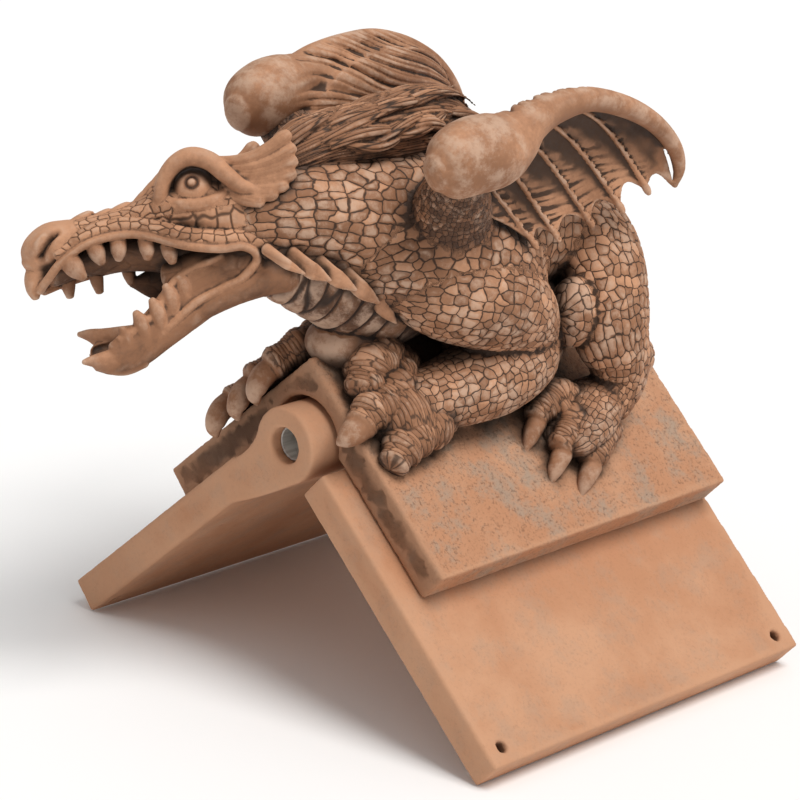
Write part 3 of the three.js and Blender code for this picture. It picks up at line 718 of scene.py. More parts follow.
def slabReliefTree():
    tree = bpy.data.node_groups.new("slab relief", "GeometryNodeTree")
    addInput(tree, "Geometry", "NodeSocketGeometry")
    addInput(tree, "Wander", "NodeSocketFloat", 0.5)
    addInput(tree, "Pits", "NodeSocketFloat", 0.3)
    addInput(tree, "Material", "NodeSocketMaterial")
    tree.interface.new_socket("Geometry", in_out="OUTPUT", socket_type="NodeSocketGeometry")
    start, end = node(tree, "NodeGroupInput"), node(tree, "NodeGroupOutput")
    place = node(tree, "GeometryNodeInputPosition").outputs[0]
    wander = node(tree, "ShaderNodeTexNoise", Vector=place, Scale=22.0, Detail=3.0).outputs["Fac"]
    wander = calc(tree, "MULTIPLY", calc(tree, "SUBTRACT", wander, 0.5), start.outputs["Wander"])
    pits = node(tree, "ShaderNodeTexNoise", Vector=place, Scale=210.0, Detail=4.0,
                Roughness=0.65).outputs["Fac"]
    pits = calc(tree, "MULTIPLY", ramp(tree, pits, 0.5, 0.28, (0.0, -1.0)), start.outputs["Pits"])
    height = calc(tree, "MULTIPLY", calc(tree, "ADD", wander, pits), mm)
    normal = node(tree, "GeometryNodeInputNormal").outputs[0]
    offset = node(tree, "ShaderNodeVectorMath", {"operation": "SCALE"}, _0=normal, Scale=height).outputs[0]
    moved = node(tree, "GeometryNodeSetPosition", Geometry=start.outputs["Geometry"], Offset=offset)
    real = node(tree, "GeometryNodeRealizeInstances", Geometry=moved.outputs[0])
    coated = node(tree, "GeometryNodeSetMaterial", Geometry=real.outputs[0],
                  Material=start.outputs["Material"])
    tree.links.new(coated.outputs[0], end.inputs[0])
    return tree


slabRelief = slabReliefTree()


def hingeLeaf(name, side, knuckles, clearSpans):
    s = leafShape
    leaf = prism(name, plateOutline(side, 40), 0, leafLength)
    merge(leaf, [prism("knuckle", knuckleOutline(side), low, high) for low, high in knuckles])
    merge(leaf, [prism("inner end", plateOutline(side, s["innerEnd"]), low, high) for low,
                 high in clearSpans])
    cutters = [rod("bore", s["bore"], (0, -5, axisHeight), (0, leafLength + 5, axisHeight))]
    for y in (s["screwInset"], leafLength - s["screwInset"]):
        x0, z0 = slopePoint(side, s["screwReach"], -30)
        x1, z1 = slopePoint(side, s["screwReach"], 40)
        cutters.append(rod("screw hole", s["screwRadius"] + 0.2, (x0, y, z0), (x1, y, z1)))
    merge(leaf, cutters, "DIFFERENCE")
    pressed(leaf, leafClay, 1.25, s, 30000)
    return leaf


front, rear = leafShape["frontKnuckle"], leafLength - leafShape["frontKnuckle"]
leftLeaf = hingeLeaf("left_leaf_clay", -1, [(0, front), (rear, leafLength)], [(front, rear)])
rightLeaf = hingeLeaf("right_leaf_clay", 1, [(front + leafShape["gap"], rear - leafShape["gap"])],
                      [(0, front + leafShape["gap"]), (rear - leafShape["gap"], leafLength)])


def saddleTile():
    s = tileShape
    under = leafShape["top"] + s["gap"] + 0.2
    springReach = math.sqrt(s["arch"] ** 2 - under ** 2)
    crest = 28.0
    left, right = slopePoint(-1, springReach, under), slopePoint(1, springReach, under)
    shoulders = slopePoint(1, -crest, s["top"]), slopePoint(-1, -crest, s["top"])
    outline = [slopePoint(-1, s["reach"], s["top"]), slopePoint(-1, s["reach"], under),
               *arc(s["arch"], left, right, -1), slopePoint(1, s["reach"], under),
               slopePoint(1, s["reach"], s["top"]),
               shoulders[0], *bend(shoulders[0], (0, apexHeight + 1.6), shoulders[1]), shoulders[1]]
    return prism("saddle_tile", outline, s["front"], s["back"])


saddle = saddleTile()
pressed(saddle, tileClay, 1.2, tileShape, 80000)


pinShape = dict(radius=9.7, wall=1.3, inset=7.0)


def hingePin():
    # a plain metal tube with its ends turned over a little
    p = pinShape
    inner, outer = p["radius"] - p["wall"], p["radius"]
    low, high = p["inset"], leafLength - p["inset"]
    edge = 0.35
    profile = [(low, inner + edge), (low, outer - edge), (low + edge, outer), (high - edge, outer),
               (high, outer - edge), (high, inner + edge), (high - edge, inner), (low + edge, inner)]
    around = 72
    verts = [(r * math.cos(2 * math.pi * k / around), y, axisHeight + r * math.sin(2 * math.pi * k / around))
             for y, r in profile for k in range(around)]
    rings = len(profile)
    faces = [[i * around + k, i * around + (k + 1) % around,
              (i + 1) % rings * around + (k + 1) % around, (i + 1) % rings * around + k]
             for i in range(rings) for k in range(around)]
    return meshObject("hinge_pin_tube", verts, faces)


def pinMetal():
    material = bpy.data.materials.new("pin metal")
    material.use_nodes = True
    tree = material.node_tree
    shader = tree.nodes["Principled BSDF"]
    place = node(tree, "ShaderNodeTexCoord").outputs["Object"]
    turned = node(tree, "ShaderNodeMapping", Vector=place, Scale=(400.0, 12.0, 400.0)).outputs[0]
    drawn = node(tree, "ShaderNodeTexNoise", Vector=turned, Scale=1.0, Detail=3.0).outputs["Fac"]
    stain = node(tree, "ShaderNodeTexNoise", Vector=place, Scale=160.0, Detail=5.0).outputs["Fac"]
    base = mixColour(tree, ramp(tree, drawn, 0.3, 0.7), colour(168, 166, 160), colour(206, 206, 202))
    base = mixColour(tree, ramp(tree, stain, 0.55, 0.7, (0.0, 0.6)), base, colour(150, 116, 92))
    tree.links.new(base, shader.inputs["Base Color"])
    shader.inputs["Metallic"].default_value = 0.75
    tree.links.new(ramp(tree, drawn, 0.2, 0.8, (0.34, 0.55)), shader.inputs["Roughness"])
    bump = node(tree, "ShaderNodeBump", Height=drawn, Strength=0.2, Distance=0.0002)
    tree.links.new(bump.outputs[0], shader.inputs["Normal"])
    return material


pin = hingePin()
pin.data.materials.append(pinMetal())
pin.data.shade_smooth()
print("hinge made")


def both(make):
    return [part for side in (1, -1) for part in make(side)]


bodyShape = dict(
    trunk=[
        [0, 234, 220, 12, 12], [0, 218, 228, 32, 28], [0, 195, 236, 45, 39], [0, 165, 240, 50, 44],
        [0, 130, 240, 52, 47], [0, 95, 243, 49, 48],
    ],
    neck=[
        [0, 95, 243, 49, 48], [0, 68, 248, 42, 46], [-1, 42, 257, 34, 38],
        [-5, 20, 263, 29, 32], [-13, 2, 265, 26, 29], [-24, -12, 262, 23, 26],
    ],
    throat=[
        [0, 84, 214, 30, 26], [0, 62, 216, 33, 30], [-2, 42, 224, 30, 27], [-8, 22, 232, 26, 23],
        [-18, 4, 238, 22, 18], [-30, -12, 240, 19, 13],
    ],
    tail=[
        [0, 222, 222, 16, 16], [-6, 236.5, 206, 14, 14], [-28, 240, 184, 12, 12], [-54, 235, 157, 10, 10],
        [-77, 219, 133, 8.5, 8.5], [-89, 196, 118, 7, 7], [-91, 176, 113, 5, 5], [-86, 162, 114, 2.5, 2.5],
    ],
    upperArm=[
        [22, 54, 226, 12, 14], [32, 60, 227, 20, 22], [42, 74, 225, 25, 27],
        [49, 94, 219, 27, 28], [52, 114, 209, 24, 25], [52, 131, 196, 17, 19], [51, 143, 186, 9, 10],
    ],
    forearm=[
        [51, 146, 186, 9, 10], [51, 133, 180, 18, 19], [49, 110, 174, 22, 23],
        [46, 88, 170, 22, 21], [42, 70, 167, 21, 18], [38, 54, 166, 21, 16], [37, 42, 165, 18, 13],
    ],
    hindLeg=[
        [20, 194, 246, 16, 22], [38, 191, 233, 22, 26], [50, 188, 218, 24, 26],
        [59, 185, 201, 22, 25], [65, 184, 185, 19.5, 23], [67, 189, 171, 17, 18.5],
        [67, 190, 158, 15, 16.5], [66, 181, 145, 14, 14.5],
    ],
    hindFoot=[[60, 186, 146, 15, 13], [63, 172, 145, 20, 15], [67, 158, 139, 21, 13], [70, 146, 132, 17, 9]],
    wingStub=[[22, 90, 242, 26, 26], [36, 78, 258, 24, 23], [49, 67, 274, 20.5, 19], [60, 58, 288, 16, 16],
              [69, 52, 297, 12, 12]],
    shoulder=[[16, 34, 236, 14, 16], [26, 50, 240, 20, 24], [36, 72, 240, 25, 30], [42, 96, 234, 26, 30],
              [42, 120, 226, 22, 26], [34, 142, 224, 14, 18]],
    thumbed=[[34, 40, 240, 22], [44, 60, 252, 20], [56, 84, 250, 20], [52, 108, 244, 18], [48, 138, 232, 16],
             [50, 88, 262, 18], [40, 160, 246, 20], [60, 188, 178, 14]],
    bellyCentre=(32, 135, 186), bellySize=(26, 44, 34),
    grain=0.85, triangles=198000,
)


def mirrored(rows, side):
    return [[side * x, *rest] for x, *rest in rows]


def limbParts(side):
    s = bodyShape
    inward = 90 * side
    cx, cy, cz = s["bellyCentre"]
    return [
        tube(mirrored(s["upperArm"], side), "limbPlates", around=60, perSpan=8, seam=-inward),
        tube(mirrored(s["shoulder"], side), "bodyPlates", around=60, perSpan=8, seam=-inward),
        tube(mirrored(s["forearm"], side), "limbPlates", around=60, perSpan=8, seam=inward),
        tube(mirrored(s["hindLeg"], side), "thighPlates", around=60, perSpan=8, up=(0, 1, 0), seam=-inward),
        tube(mirrored(s["hindFoot"], side), "finePlates", around=48, perSpan=8, seam=180),
        tube(mirrored(s["wingStub"], side), "stubPlates", around=40, perSpan=8, seam=-inward),
        ball((side * cx, cy, cz), s["bellySize"], "bodyPlates", around=48),
        ball((side * 66, 203, 168), (12, 12, 13), "limbPlates", around=32),
        ball((side * 57, 160, 200), (14, 13, 20), "thighPlates", around=32),
    ]


finishes["thighPlates"] = dict(cell=(5.2, 4.6), depth=0.60, clay=0.62)
bodyParts = [
    tube(bodyShape["trunk"], "bodyPlates", around=96, perSpan=10, seam=0),
    tube(bodyShape["neck"], "neckPlates", around=96, perSpan=10, seam=0),
    tube(bodyShape["throat"], "throatBands", around=64, perSpan=12, seam=0),
    tube(bodyShape["tail"], "finePlates", around=40, perSpan=8, seam=0),
    *both(limbParts),
    ball((0, 46, 192), (22, 26, 15), "stone", around=40),
]


def skinPoint(part, share, turn, rise=0.0):
    # a point on a part's skin: share of its length, turn around it in degrees
    i = share * (len(part["line"]) - 1)
    k = min(int(i), len(part["line"]) - 2)
    t = i - k
    c, size, side, top = (part[n][k] * (1 - t) + part[n][k + 1] * t for n in ("line", "size", "side", "top"))
    a = math.radians(turn)
    return c + side * (size[0] + rise) * math.sin(a) + top * (size[1] + rise) * math.cos(a)


def fillet(piece, times, reach, where):
    # creases inside the given balls [x, y, z, radius] are filled and smoothed over, as a wet thumb would
    co, edges = readCo(piece), readEdges(piece)
    share = np.zeros(len(co))
    for x, y, z, radius in where:
        away = np.linalg.norm(co - [x, y, z], axis=1)
        share = np.maximum(share, 1 - smoothStep(radius * 0.7, radius * 1.3, away))
    for _ in range(times):
        mean = relaxed(edges, co, reach)
        normals = readNormals(piece)
        rise = np.maximum(((mean - co) * normals).sum(1), 0) * share
        co = co + normals * np.minimum(rise, 1.5)[:, None]
        co = co + (relaxed(edges, co, 2) - co) * share[:, None] * 0.6
        writeCo(piece, co)


body = fuse("dragon_body", bodyParts, bodyShape["grain"], soften=3)
fillet(body, 14, 8, [[side * x, y, z, r] for side in (1, -1) for x, y, z, r in bodyShape["thumbed"]])
clothe(body, bodyParts)
relieve(body, dragonClay, bodyShape["triangles"])


footShape = dict(
    # toes as [x, y, height over the tile, radius], the left fore foot curled like a fist
    leftFore=[
        [[26, 62, 14, 11], [22, 50, 19, 12.5], [23, 39, 18, 13], [27, 30, 11, 11.5]],
        [[38, 60, 15, 12], [37, 47, 18, 13], [38, 35, 14, 13], [38, 24, 12, 12], [39, 17, 9, 9.5]],
        [[47, 68, 13, 13], [51, 57, 14, 14], [52, 43, 12, 13.5], [54, 32, 9, 12], [56, 25, 6, 9.5]],
    ],
    leftLumps=[[14, 45, 11, 8], [17, 34, 10, 8], [28, 45, 25, 8], [31, 32, 19, 7.5], [33, 54, 23, 8.5],
               [45, 36, 18, 7.5], [43, 51, 22, 8.5], [40, 46, 6, 22]],
    leftClaws=[[[39, 18, 9, 8.2], [39, 11.5, 6, 7.4], [38, 6.5, 2, 5.2], [36, 5, -2, 2.6],
                [35, 5.5, -4, 1.0]]],
    rightFore=[
        [[28, 56, 15, 11], [22, 43, 19, 12], [22, 31, 17, 11], [27, 17, 14, 9.5]],
        [[38, 56, 15, 11], [37, 43, 19, 12], [38, 30, 16, 11], [41, 17, 14, 9.5]],
        [[46, 58, 13, 11], [51, 45, 16, 12], [54, 32, 14, 10.5], [57, 18, 11, 9.5]],
    ],
    rightLumps=[[15, 44, 12, 7], [32, 38, 22, 6.5], [45, 36, 19, 6.5]],
    rightClaws=[[[x, 17, 12, 6.6], [x, 9, 8, 6.6], [x - 1, 4, 0, 5.2], [x - 2, 5, -7, 1.6]] for x in (28,
                                                                                                      42,
                                                                                                      58)],
    hindToes=[
        [[60, 166, 12, 11], [55, 153, 14, 11], [56, 141, 11, 9.5], [57, 134, 9, 7.5]],
        [[68, 168, 12, 11], [68, 155, 14, 11.5], [71, 145, 11, 10], [72, 138, 9, 8]],
        [[72, 178, 11, 10], [76, 168, 13, 10.5], [80, 158, 10, 9.5], [81, 153, 8, 7.5]],
    ],
    hindLumps=[[63, 150, 17, 6], [74, 156, 16, 6], [60, 160, 19, 7], [71, 168, 19, 7]],
    hindClaws=[(59, 132), (75, 136), (84, 151)],
    grain=0.62, triangles=160000,
)


def onTile(rows, side):
    return [[side * x, y, slabHeight(x) + rise, r, r * 0.95] for x, y, rise, r in rows]


def rolled(rows, pinch=0.14):
    # a toe's joints as rolls of flesh, drawn in between
    out = []
    for a, b in zip(rows, rows[1:]):
        middle = [(p + q) / 2 for p, q in zip(a, b)]
        middle[3] *= 1 - pinch
        middle[4] *= 1 - pinch
        out += [a, middle]
    return out + [rows[-1]]


def footParts(side):
    s = footShape
    name = "left" if side > 0 else "right"
    parts = []
    toes = [rolled(onTile(rows, side)) for rows in s[name + "Fore"]]
    toes += [rolled(onTile(rows, side), 0.06) for rows in s["hindToes"]]
    for rows in toes:
        parts.append(tube(rows, "toeFolds", around=44, perSpan=6, up=(1, 0, 0), seam=-90))
    parts.append(tube([[side * 24, 68, slabHeight(24) + 10, 9, 9],
                       [side * 18, 62, slabHeight(18) + 11, 10.5, 10],
                       [side * 12, 52, slabHeight(12) + 6, 7, 7]], "toeFolds", around=36, seam=180))
    for x, y, rise, r in s[name + "Lumps"] + s["hindLumps"]:
        parts.append(ball((side * x, y, slabHeight(x) + rise), (r, r * 0.85, r), "toeFolds", around=28))
    claws = list(s[name + "Claws"])
    claws += [[[x - 1, y + 4, 7, 5.6], [x, y, 6, 5.8], [x + 2, y - 6, 2.5, 4.4], [x + 4, y - 11, -2, 0.9]]
              for x, y in s["hindClaws"]]
    for rows in claws:
        parts.append(tube(onTile(rows, side), "claw", around=28, perSpan=6, up=(1, 0, 0)))
    return parts


feetParts = both(footParts)
feet = fuse("dragon_feet", feetParts, footShape["grain"], soften=2)
clothe(feet, feetParts, fade=2)
relieve(feet, dragonClay, footShape["triangles"], crackWidth=0.35, marks=0.2)


wingShape = dict(
    rim=[
        [72, 28, 303, 9, 11], [73, 36, 305, 16.5, 17.5], [74, 51, 308.5, 19.5, 20], [75, 67, 309.5, 19, 19.5],
        [75.5, 79, 313.5, 15.5, 16], [76, 91, 320.5, 11.5, 11.5], [76, 110, 325.3, 9, 8.8],
        [78, 135, 326.4, 7, 6.6],
        [80, 162, 319, 6, 6], [81, 186, 307, 5.2, 5.2],
        [82, 203, 292, 4.5, 4.5], [81, 211, 278, 3.5, 3.5], [79, 211, 267, 1.5, 1.5],
    ],
    # each rib: place in the fan, its root, its end, how far it bows off the straight line
    ribs=[
        [0, [66, 50, 290], [62, 76, 272], 0], [0.18, [66, 60, 300], [66, 113, 249], 4],
        [0.34, [68, 72, 309], [70, 126, 252], 6], [0.5, [70, 86, 317], [72, 150, 256], 8],
        [0.66, [72, 98, 322], [75, 171, 261], 10], [0.82, [74, 114, 325], [78, 188, 269], 13],
        [1, [77, 134, 326], [80, 210, 267], 17],
    ],
    thickness=3.6, rootThickness=13.0, scallop=0.08, cup=9.0, dish=1.6, ribWidth=1.25,
    foldPitch=4.6, foldDepth=1.5,
    grain=0.6, triangles=62000,
)


def fanPoint(u, v):
    ribs = wingShape["ribs"]
    span = 0
    while span < len(ribs) - 2 and u > ribs[span + 1][0]:
        span += 1
    u0, root0, end0, bow0 = ribs[span]
    u1, root1, end1, bow1 = ribs[span + 1]
    k = (u - u0) / (u1 - u0)
    root = np.array(root0) * (1 - k) + np.array(root1) * k
    end = np.array(end0) * (1 - k) + np.array(end1) * k
    along = v * (1 - wingShape["scallop"] * math.sin(math.pi * k ** 1.4))
    point = root * (1 - along) + end * along
    bow = (bow0 * (1 - k) + bow1 * k) * math.sin(math.pi * along)
    cup = wingShape["cup"] * math.sin(math.pi * along) * min(1, 4 * u) * min(1, 5 * (1 - u))
    dish = wingShape["dish"] * math.sin(math.pi * k) * min(1, 6 * v)
    return point + [-cup - dish, bow * 0.6, bow * 0.8]


def wingSkin(side):
    # the skin as a closed sheet, cupped between rim and edge
    s = wingShape
    across, down = 180, 90
    outer = np.array([[fanPoint(i / across, j / down) for j in range(down + 1)] for i in range(across + 1)])
    fill = (1 - smoothStep(0.0, 0.75, np.linspace(0, 1, down + 1))) * (s["rootThickness"] - s["thickness"])
    inner = outer - np.stack([s["thickness"] + fill, 0 * fill, 0 * fill], -1)[None]
    verts = np.vstack([outer.reshape(-1, 3), inner.reshape(-1, 3)])
    count = (across + 1) * (down + 1)
    faces = []
    for i in range(across):
        for j in range(down):
            a = i * (down + 1) + j
            b, c, d = a + down + 1, a + down + 2, a + 1
            faces += [[a, b, c, d], [a + count, d + count, c + count, b + count]]
    rim = ([(i, 0) for i in range(across)] + [(across, j) for j in range(down)]
           + [(i, down) for i in range(across, 0, -1)] + [(0, j) for j in range(down, 0, -1)])
    rim = [i * (down + 1) + j for i, j in rim]
    for a, b in zip(rim, rim[1:] + rim[:1]):
        faces.append([b, a, a + count, b + count])
    verts = verts * [side, 1, 1]
    if side > 0:
        faces = [f[::-1] for f in faces]
    middle = outer[across // 2]
    return {"verts": verts, "faces": faces, "finish": "wingSkin", "line": middle * [side, 1, 1],
            "size": np.full((down + 1, 2), 3.0), "side": np.tile([1.0, 0, 0], (down + 1, 1)),
            "top": np.tile([0, 1.0, 0], (down + 1, 1)), "seam": 0.0, "shy": 40.0}


def wingRibs(side):
    # thin raised ribs on the outer face, each ending in a curled point
    s = wingShape
    made = []
    for u, *_ in s["ribs"][1:]:
        rows = []
        for k in range(13):
            v = k / 12
            x, y, z = fanPoint(u, v)
            r = s["ribWidth"] * (0.8 + 0.5 * v)
            rows.append([side * (x + 0.6), y, z, r, r])
        rows[-1][3:] = [2.2, 2.2]
        tip = np.array(rows[-1][:3])
        ahead = unit(tip - np.array(rows[-2][:3]))
        curl = tip + ahead * 1.2 + [side * 1.6, -0.6, -1.2]
        rows.append([*curl, 1.3, 1.3])
        if u < 1:
            made.append(tube(rows, "rib", around=20, perSpan=4))
    return made


finishes["wingSkin"] = dict(cell=(9.0, 2.4), depth=0.16, clay=0.62)
finishes["rib"] = dict(cell=(30.0, 30.0), depth=0.0, clay=0.70)
finishes["rim"] = dict(cell=(90.0, 7.0), depth=0.05, clay=0.56)


def foldBack(wing, side):
    # the wing's back is one rounded shell, with long folds running from the bulb to the rear
    co, edges = readCo(wing), readEdges(wing)
    for _ in range(10):
        normals = readNormals(wing)
        back = smoothStep(0.0, 0.5, -side * normals[:, 0]) * smoothStep(78, 70, side * co[:, 0])
        mean = relaxed(edges, co, 10)
        rise = np.maximum(((mean - co) * normals).sum(1), 0) * back
        co = co + normals * np.minimum(rise, 1.2)[:, None]
        writeCo(wing, co)
    normals = readNormals(wing)
    back = smoothStep(0.0, 0.4, np.maximum(-side * normals[:, 0], normals[:, 2] * 0.9))
    back = back * smoothStep(79, 72, side * co[:, 0])
    y, z = co[:, 1], co[:, 2]
    turn = np.degrees(np.arctan2(z - 281, 226 - y))
    fold = (turn + 1.3 * np.sin(y / 17.0) + 0.8 * np.sin(z / 5.0 + y / 31.0)) / wingShape["foldPitch"]
    groove = np.exp(-((fold % 1 - 0.5) / 0.13) ** 2) + 0.5 * np.exp(-(((2.7 * fold) % 1 - 0.5) / 0.13) ** 2)
    reach = smoothStep(48, 72, y) * smoothStep(224, 190, y)
    writeCo(wing, co - normals * (groove * back * reach * wingShape["foldDepth"])[:, None])


def makeWing(name, side):
    s = wingShape
    rim = tube(mirrored(s["rim"], side), "rim", around=64, perSpan=12, seam=90 * side)
    parts = [wingSkin(side), rim, *wingRibs(side)]
    wing = fuse(name, parts, s["grain"], soften=2)
    clothe(wing, parts, fade=2)
    foldBack(wing, side)
    relieve(wing, dragonClay, s["triangles"], crackWidth=0.1, marks=0.08)
    return wing


leftWing, rightWing = makeWing("left_wing", 1), makeWing("right_wing", -1)


maneShape = dict(
    crest=[
        [-16, -4, 288, 7, 10], [-11, 10, 296, 11, 14], [-7, 28, 301, 13, 15], [-3, 48, 302, 14, 17],
        [0, 70, 303, 14, 19], [0, 92, 302, 13, 19], [0, 112, 298, 11, 16], [0, 130, 288, 8, 9],
    ],
    locks=34, lockLength=54.0, lockWidth=5.2, grain=0.62, triangles=110000, seed=4,
)


def maneLocks():
    # flame-like locks laid over the crest, sweeping back and up to a point
    s = maneShape
    chance = np.random.default_rng(s["seed"])
    crest = tube(s["crest"], "hair", around=40, perSpan=10)
    made = [crest]
    for k in range(s["locks"]):
        share = 0.02 + 0.80 * (k + chance.uniform(-0.4, 0.4)) / s["locks"]
        turn = chance.uniform(-95, 95)
        length = s["lockLength"] * chance.uniform(0.6, 1.1)
        rise = chance.uniform(0.05, 0.22) * (1 - abs(turn) / 110)
        width = s["lockWidth"] * chance.uniform(0.75, 1.25)
        rows = []
        for i in range(7):
            t = i / 6
            along = min(share + t * length / 150, 0.97)
            base = skinPoint(crest, along, turn * (1 + 0.25 * math.sin(3 * t + k)),
                             -4.5 + 3.0 * math.sin(math.pi * t))
            base = base + np.array([0, 1, 0.55]) * length * rise * t * t
            r = width * (0.55 + 0.9 * math.sin(math.pi * min(t + 0.18, 1)) ** 0.8) * (1 - 0.75 * t ** 3)
            rows.append([*base, max(r, 0.6), max(r * 0.5, 0.5)])
        made.append(tube(rows, "hair", around=20, perSpan=4))
    for points, radius in (
        ([[2, 50, 306], [1, 60, 316], [0, 66, 324]], 6.5),
        ([[-2, 84, 306], [-1, 100, 313], [0, 116, 320]], 7.5),
        ([[-8, 22, 300], [-7, 34, 310], [-6, 48, 315]], 6.5),
    ):
        made.append(horn(points, radius, "hair", around=24))
    return made


maneParts = maneLocks()
mane = fuse("dragon_mane", maneParts, maneShape["grain"], soften=1)
clothe(mane, maneParts, fade=2)
relieve(mane, dragonClay, maneShape["triangles"], crackWidth=0.35)


# points on the head are along it, to its left, and up, from where it joins the neck

headShape = dict(
    base=(-12, 6, 265), turn=38, dip=10, roll=19, jawRoll=-22,
    skull=[
        [110, 0, 7.5, 16, 7.5], [100, 0, 8.5, 15.5, 7], [90, 0, 9, 16, 6.8], [79, 0, 9.5, 17, 8],
        [68, 0, 11, 19.5, 11],
        [57, 0, 11, 22, 15], [44, 0, 10, 24, 19], [28, 0, 6, 25, 24], [12, 0, 0, 25, 27], [-6, 0, -2, 24, 26],
    ],
    nose=[[131, 0, -6, 9, 8], [127, 0, -1, 14.5, 11.5], [120, 0, 4, 18, 11.5], [112, 0, 6.5, 16.5, 9],
          [104, 0, 7.5, 14.5, 6.5]],
    beak=[[124, 0, -4], [131, 1, -11], [133.5, 1, -17], [133.5, 1, -22]],
    palate=[
        [124, -5, -11, 10, 7], [110, -8, -7, 11, 8], [96, -9, -6, 11, 9.5], [80, -9, -6, 12, 10.5],
        [64, -8, -8, 14, 12],
        [46, -4, -14, 16, 13],
    ],
    nearLip=[
        [131, 4, -19], [125, 10, -13], [117, 15, -6], [104, 16.5, 0.5], [88.5, 17, 2.5], [74, 19, 0.5],
        [55, 23.5, -8], [38, 25, -12.5], [25, 24, -13.5], [19, 21, -20], [28, 18, -29], [40, 17, -33],
        [52, 16.5, -37], [62, 15, -43], [74, 13, -51],
    ],
    farLip=[[129, -5, -19], [116, -15, -16], [88, -18, -13], [50, -23, -15], [28, -22, -16], [22, -19, -23],
            [58, -17, -33], [76, -15, -40]],
    lipWidth=2.5,
    lipSkin=[[120, 14, -1.5, 3.5, 4], [104, 14.5, 5.5, 3.5, 4], [88, 15, 7.5, 3.5, 4],
             [74, 17.3, 5.5, 4, 4.2],
             [55, 21.3, -2.5, 4.5, 4.5], [38, 22.5, -7, 4.5, 4.5], [24, 21, -9, 4.5, 4.5],
             [12, 19, -14, 4.5, 5]],
    nearCheek=[[66, 8, -22, 4, 7], [46, 11, -22, 5, 11], [20, 12, -20, 8, 12]],
    farCheek=[[84, -15, -22, 1.5, 2], [68, -17, -24, 4, 10], [44, -17, -22, 6, 11], [20, -15, -20, 8, 12]],
    # the lower jaw, in its own rolled frame: along, across, rise, half width, half height, base
    jawRear=[[4, 0, 0, 18, 13, -26], [22, 0, 0, 20, 12, -27], [40, 0, 0, 20, 11, -31], [56, 0, 0, 17, 9, -38],
             [66, 0, -2, 12, 6, -44]],
    jawTrough=[[50, 0, 0, 17, 10, -35], [58, 0, 0, 17.5, 10, -39], [74, 0, 0, 16, 9.5, -48],
               [88, 0, 0, 17, 9.5, -55],
               [98, 0, 0, 17.5, 8.5, -57.5], [106, 0, 0, 16, 6, -57]],
    lobe=[[84, 13, -3, 3.5, 7, -52], [94, 14, -3, 4.2, 8, -53], [102, 15.5, -2, 4, 6.5, -52.5],
          [109, 18, -0.5, 3, 3.6, -51.5], [115, 19.5, 0, 1.3, 1.3, -51]],
    forehead=[[68, 0, 13, 11, 8], [57, 0, 20, 15, 11], [46, 0, 24, 17, 12.5], [34, 0, 21, 19, 13],
              [20, 0, 15, 20, 14]],
    jawWall=[[34, 14, -24, 3, 8], [44, 14, -26, 3, 9], [54, 13.5, -30, 3, 9], [63, 13, -35, 3, 9],
             [71, 13, -42, 3, 8.5],
             [80, 13.5, -49, 3, 8.5], [90, 14.5, -54, 3, 8], [98, 15, -57, 3, 6.5]],
    toothRim=[[36, 15, -16], [44, 15, -18], [52, 13, -20], [60, 13, -24], [66, 13.5, -29],
              [72.5, 14, -38], [80, 14.5, -43], [87, 15, -47],
              [95, 15.5, -50.5]],
    upperTeeth=[
        [[114, 12.5, -5], [111, 13.3, -11], [107.5, 13.5, -16], 5.6],
        [[100, 13, 0], [98.7, 13.8, -5.5], [97.3, 13.5, -10], 4.8],
        [[87.5, 13.5, 0], [88, 14.5, -5.5], [88.6, 14, -9.6], 4.5],
        [[73.5, 15, -2], [73.4, 15.8, -7.5], [74.2, 15.5, -11.5], 4.4],
        [[63, 16.5, -6], [62.3, 17.5, -11.5], [61.8, 17.5, -15.5], 4.2],
        [[116, -12, -12], [116, -12, -18], [116, -12, -24], 4.2],
        [[101, -14, -12], [101, -14, -18], [100.5, -14, -24], 3.8],
        [[84, -15, -12], [84, -15, -17], [83.5, -15, -22], 3.8],
    ],
    lowerTeeth=[[91, -51, 12], [82.5, -46, 14], [73.5, -41, 14], [65.5, -33, 12], [58, -27, 9]],
    eye=(45, 14.5, 20), eyeRadius=10.5,
    brow=[[64, 15, 12, 3.0, 3.0], [62, 17.5, 20, 4.2, 3.6], [58.5, 19.5, 28, 5.2, 4.2],
          [52, 21.5, 34, 6.0, 4.6],
          [44, 22.5, 36, 6.4, 5.0], [35, 23.5, 32, 6.2, 5.0], [28, 24.5, 24, 5.8, 4.6],
          [21, 25, 17, 5.0, 4.0],
          [13, 25.5, 13, 3.5, 3.0]],
    lid=[[59, 18, 14.5, 1.8, 2.4], [52, 22.5, 12.5, 2.0, 3.0], [44, 24, 11.5, 2.0, 3.0],
         [36, 23.5, 12.5, 2.0, 2.8],
         [30, 22, 15, 1.6, 2.2]],
    earFlutes=7, earFluteWidth=3.3,
    scutes=[[103, 15.6], [93, 15.2], [83, 17.0]],
    grain=0.55, triangles=198000,
)


def headFrame():
    h = headShape
    turn, dip, roll = (math.radians(h[k]) for k in ("turn", "dip", "roll"))
    forward = np.array([-math.sin(turn) * math.cos(dip), -math.cos(turn) * math.cos(dip), -math.sin(dip)])
    level = np.array([math.cos(turn), -math.sin(turn), 0.0])
    upright = np.cross(forward, level)
    left = level * math.cos(roll) + upright * math.sin(roll)
    return np.array([forward, left, np.cross(forward, left)])


headAxes = headFrame()


def toDrawing(points):
    return np.asarray(points, float) @ headAxes + np.array(headShape["base"])


def toHead(points):
    return (points - np.array(headShape["base"])) @ headAxes.T


def onHead(part):
    for key in ("verts", "line"):
        part[key] = toDrawing(part[key])
    for key in ("side", "top"):
        part[key] = part[key] @ headAxes
    return part


def headTube(rows, finish, shy=0.0, **options):
    part = onHead(tube(rows, finish, **options))
    part["shy"] = shy
    return part


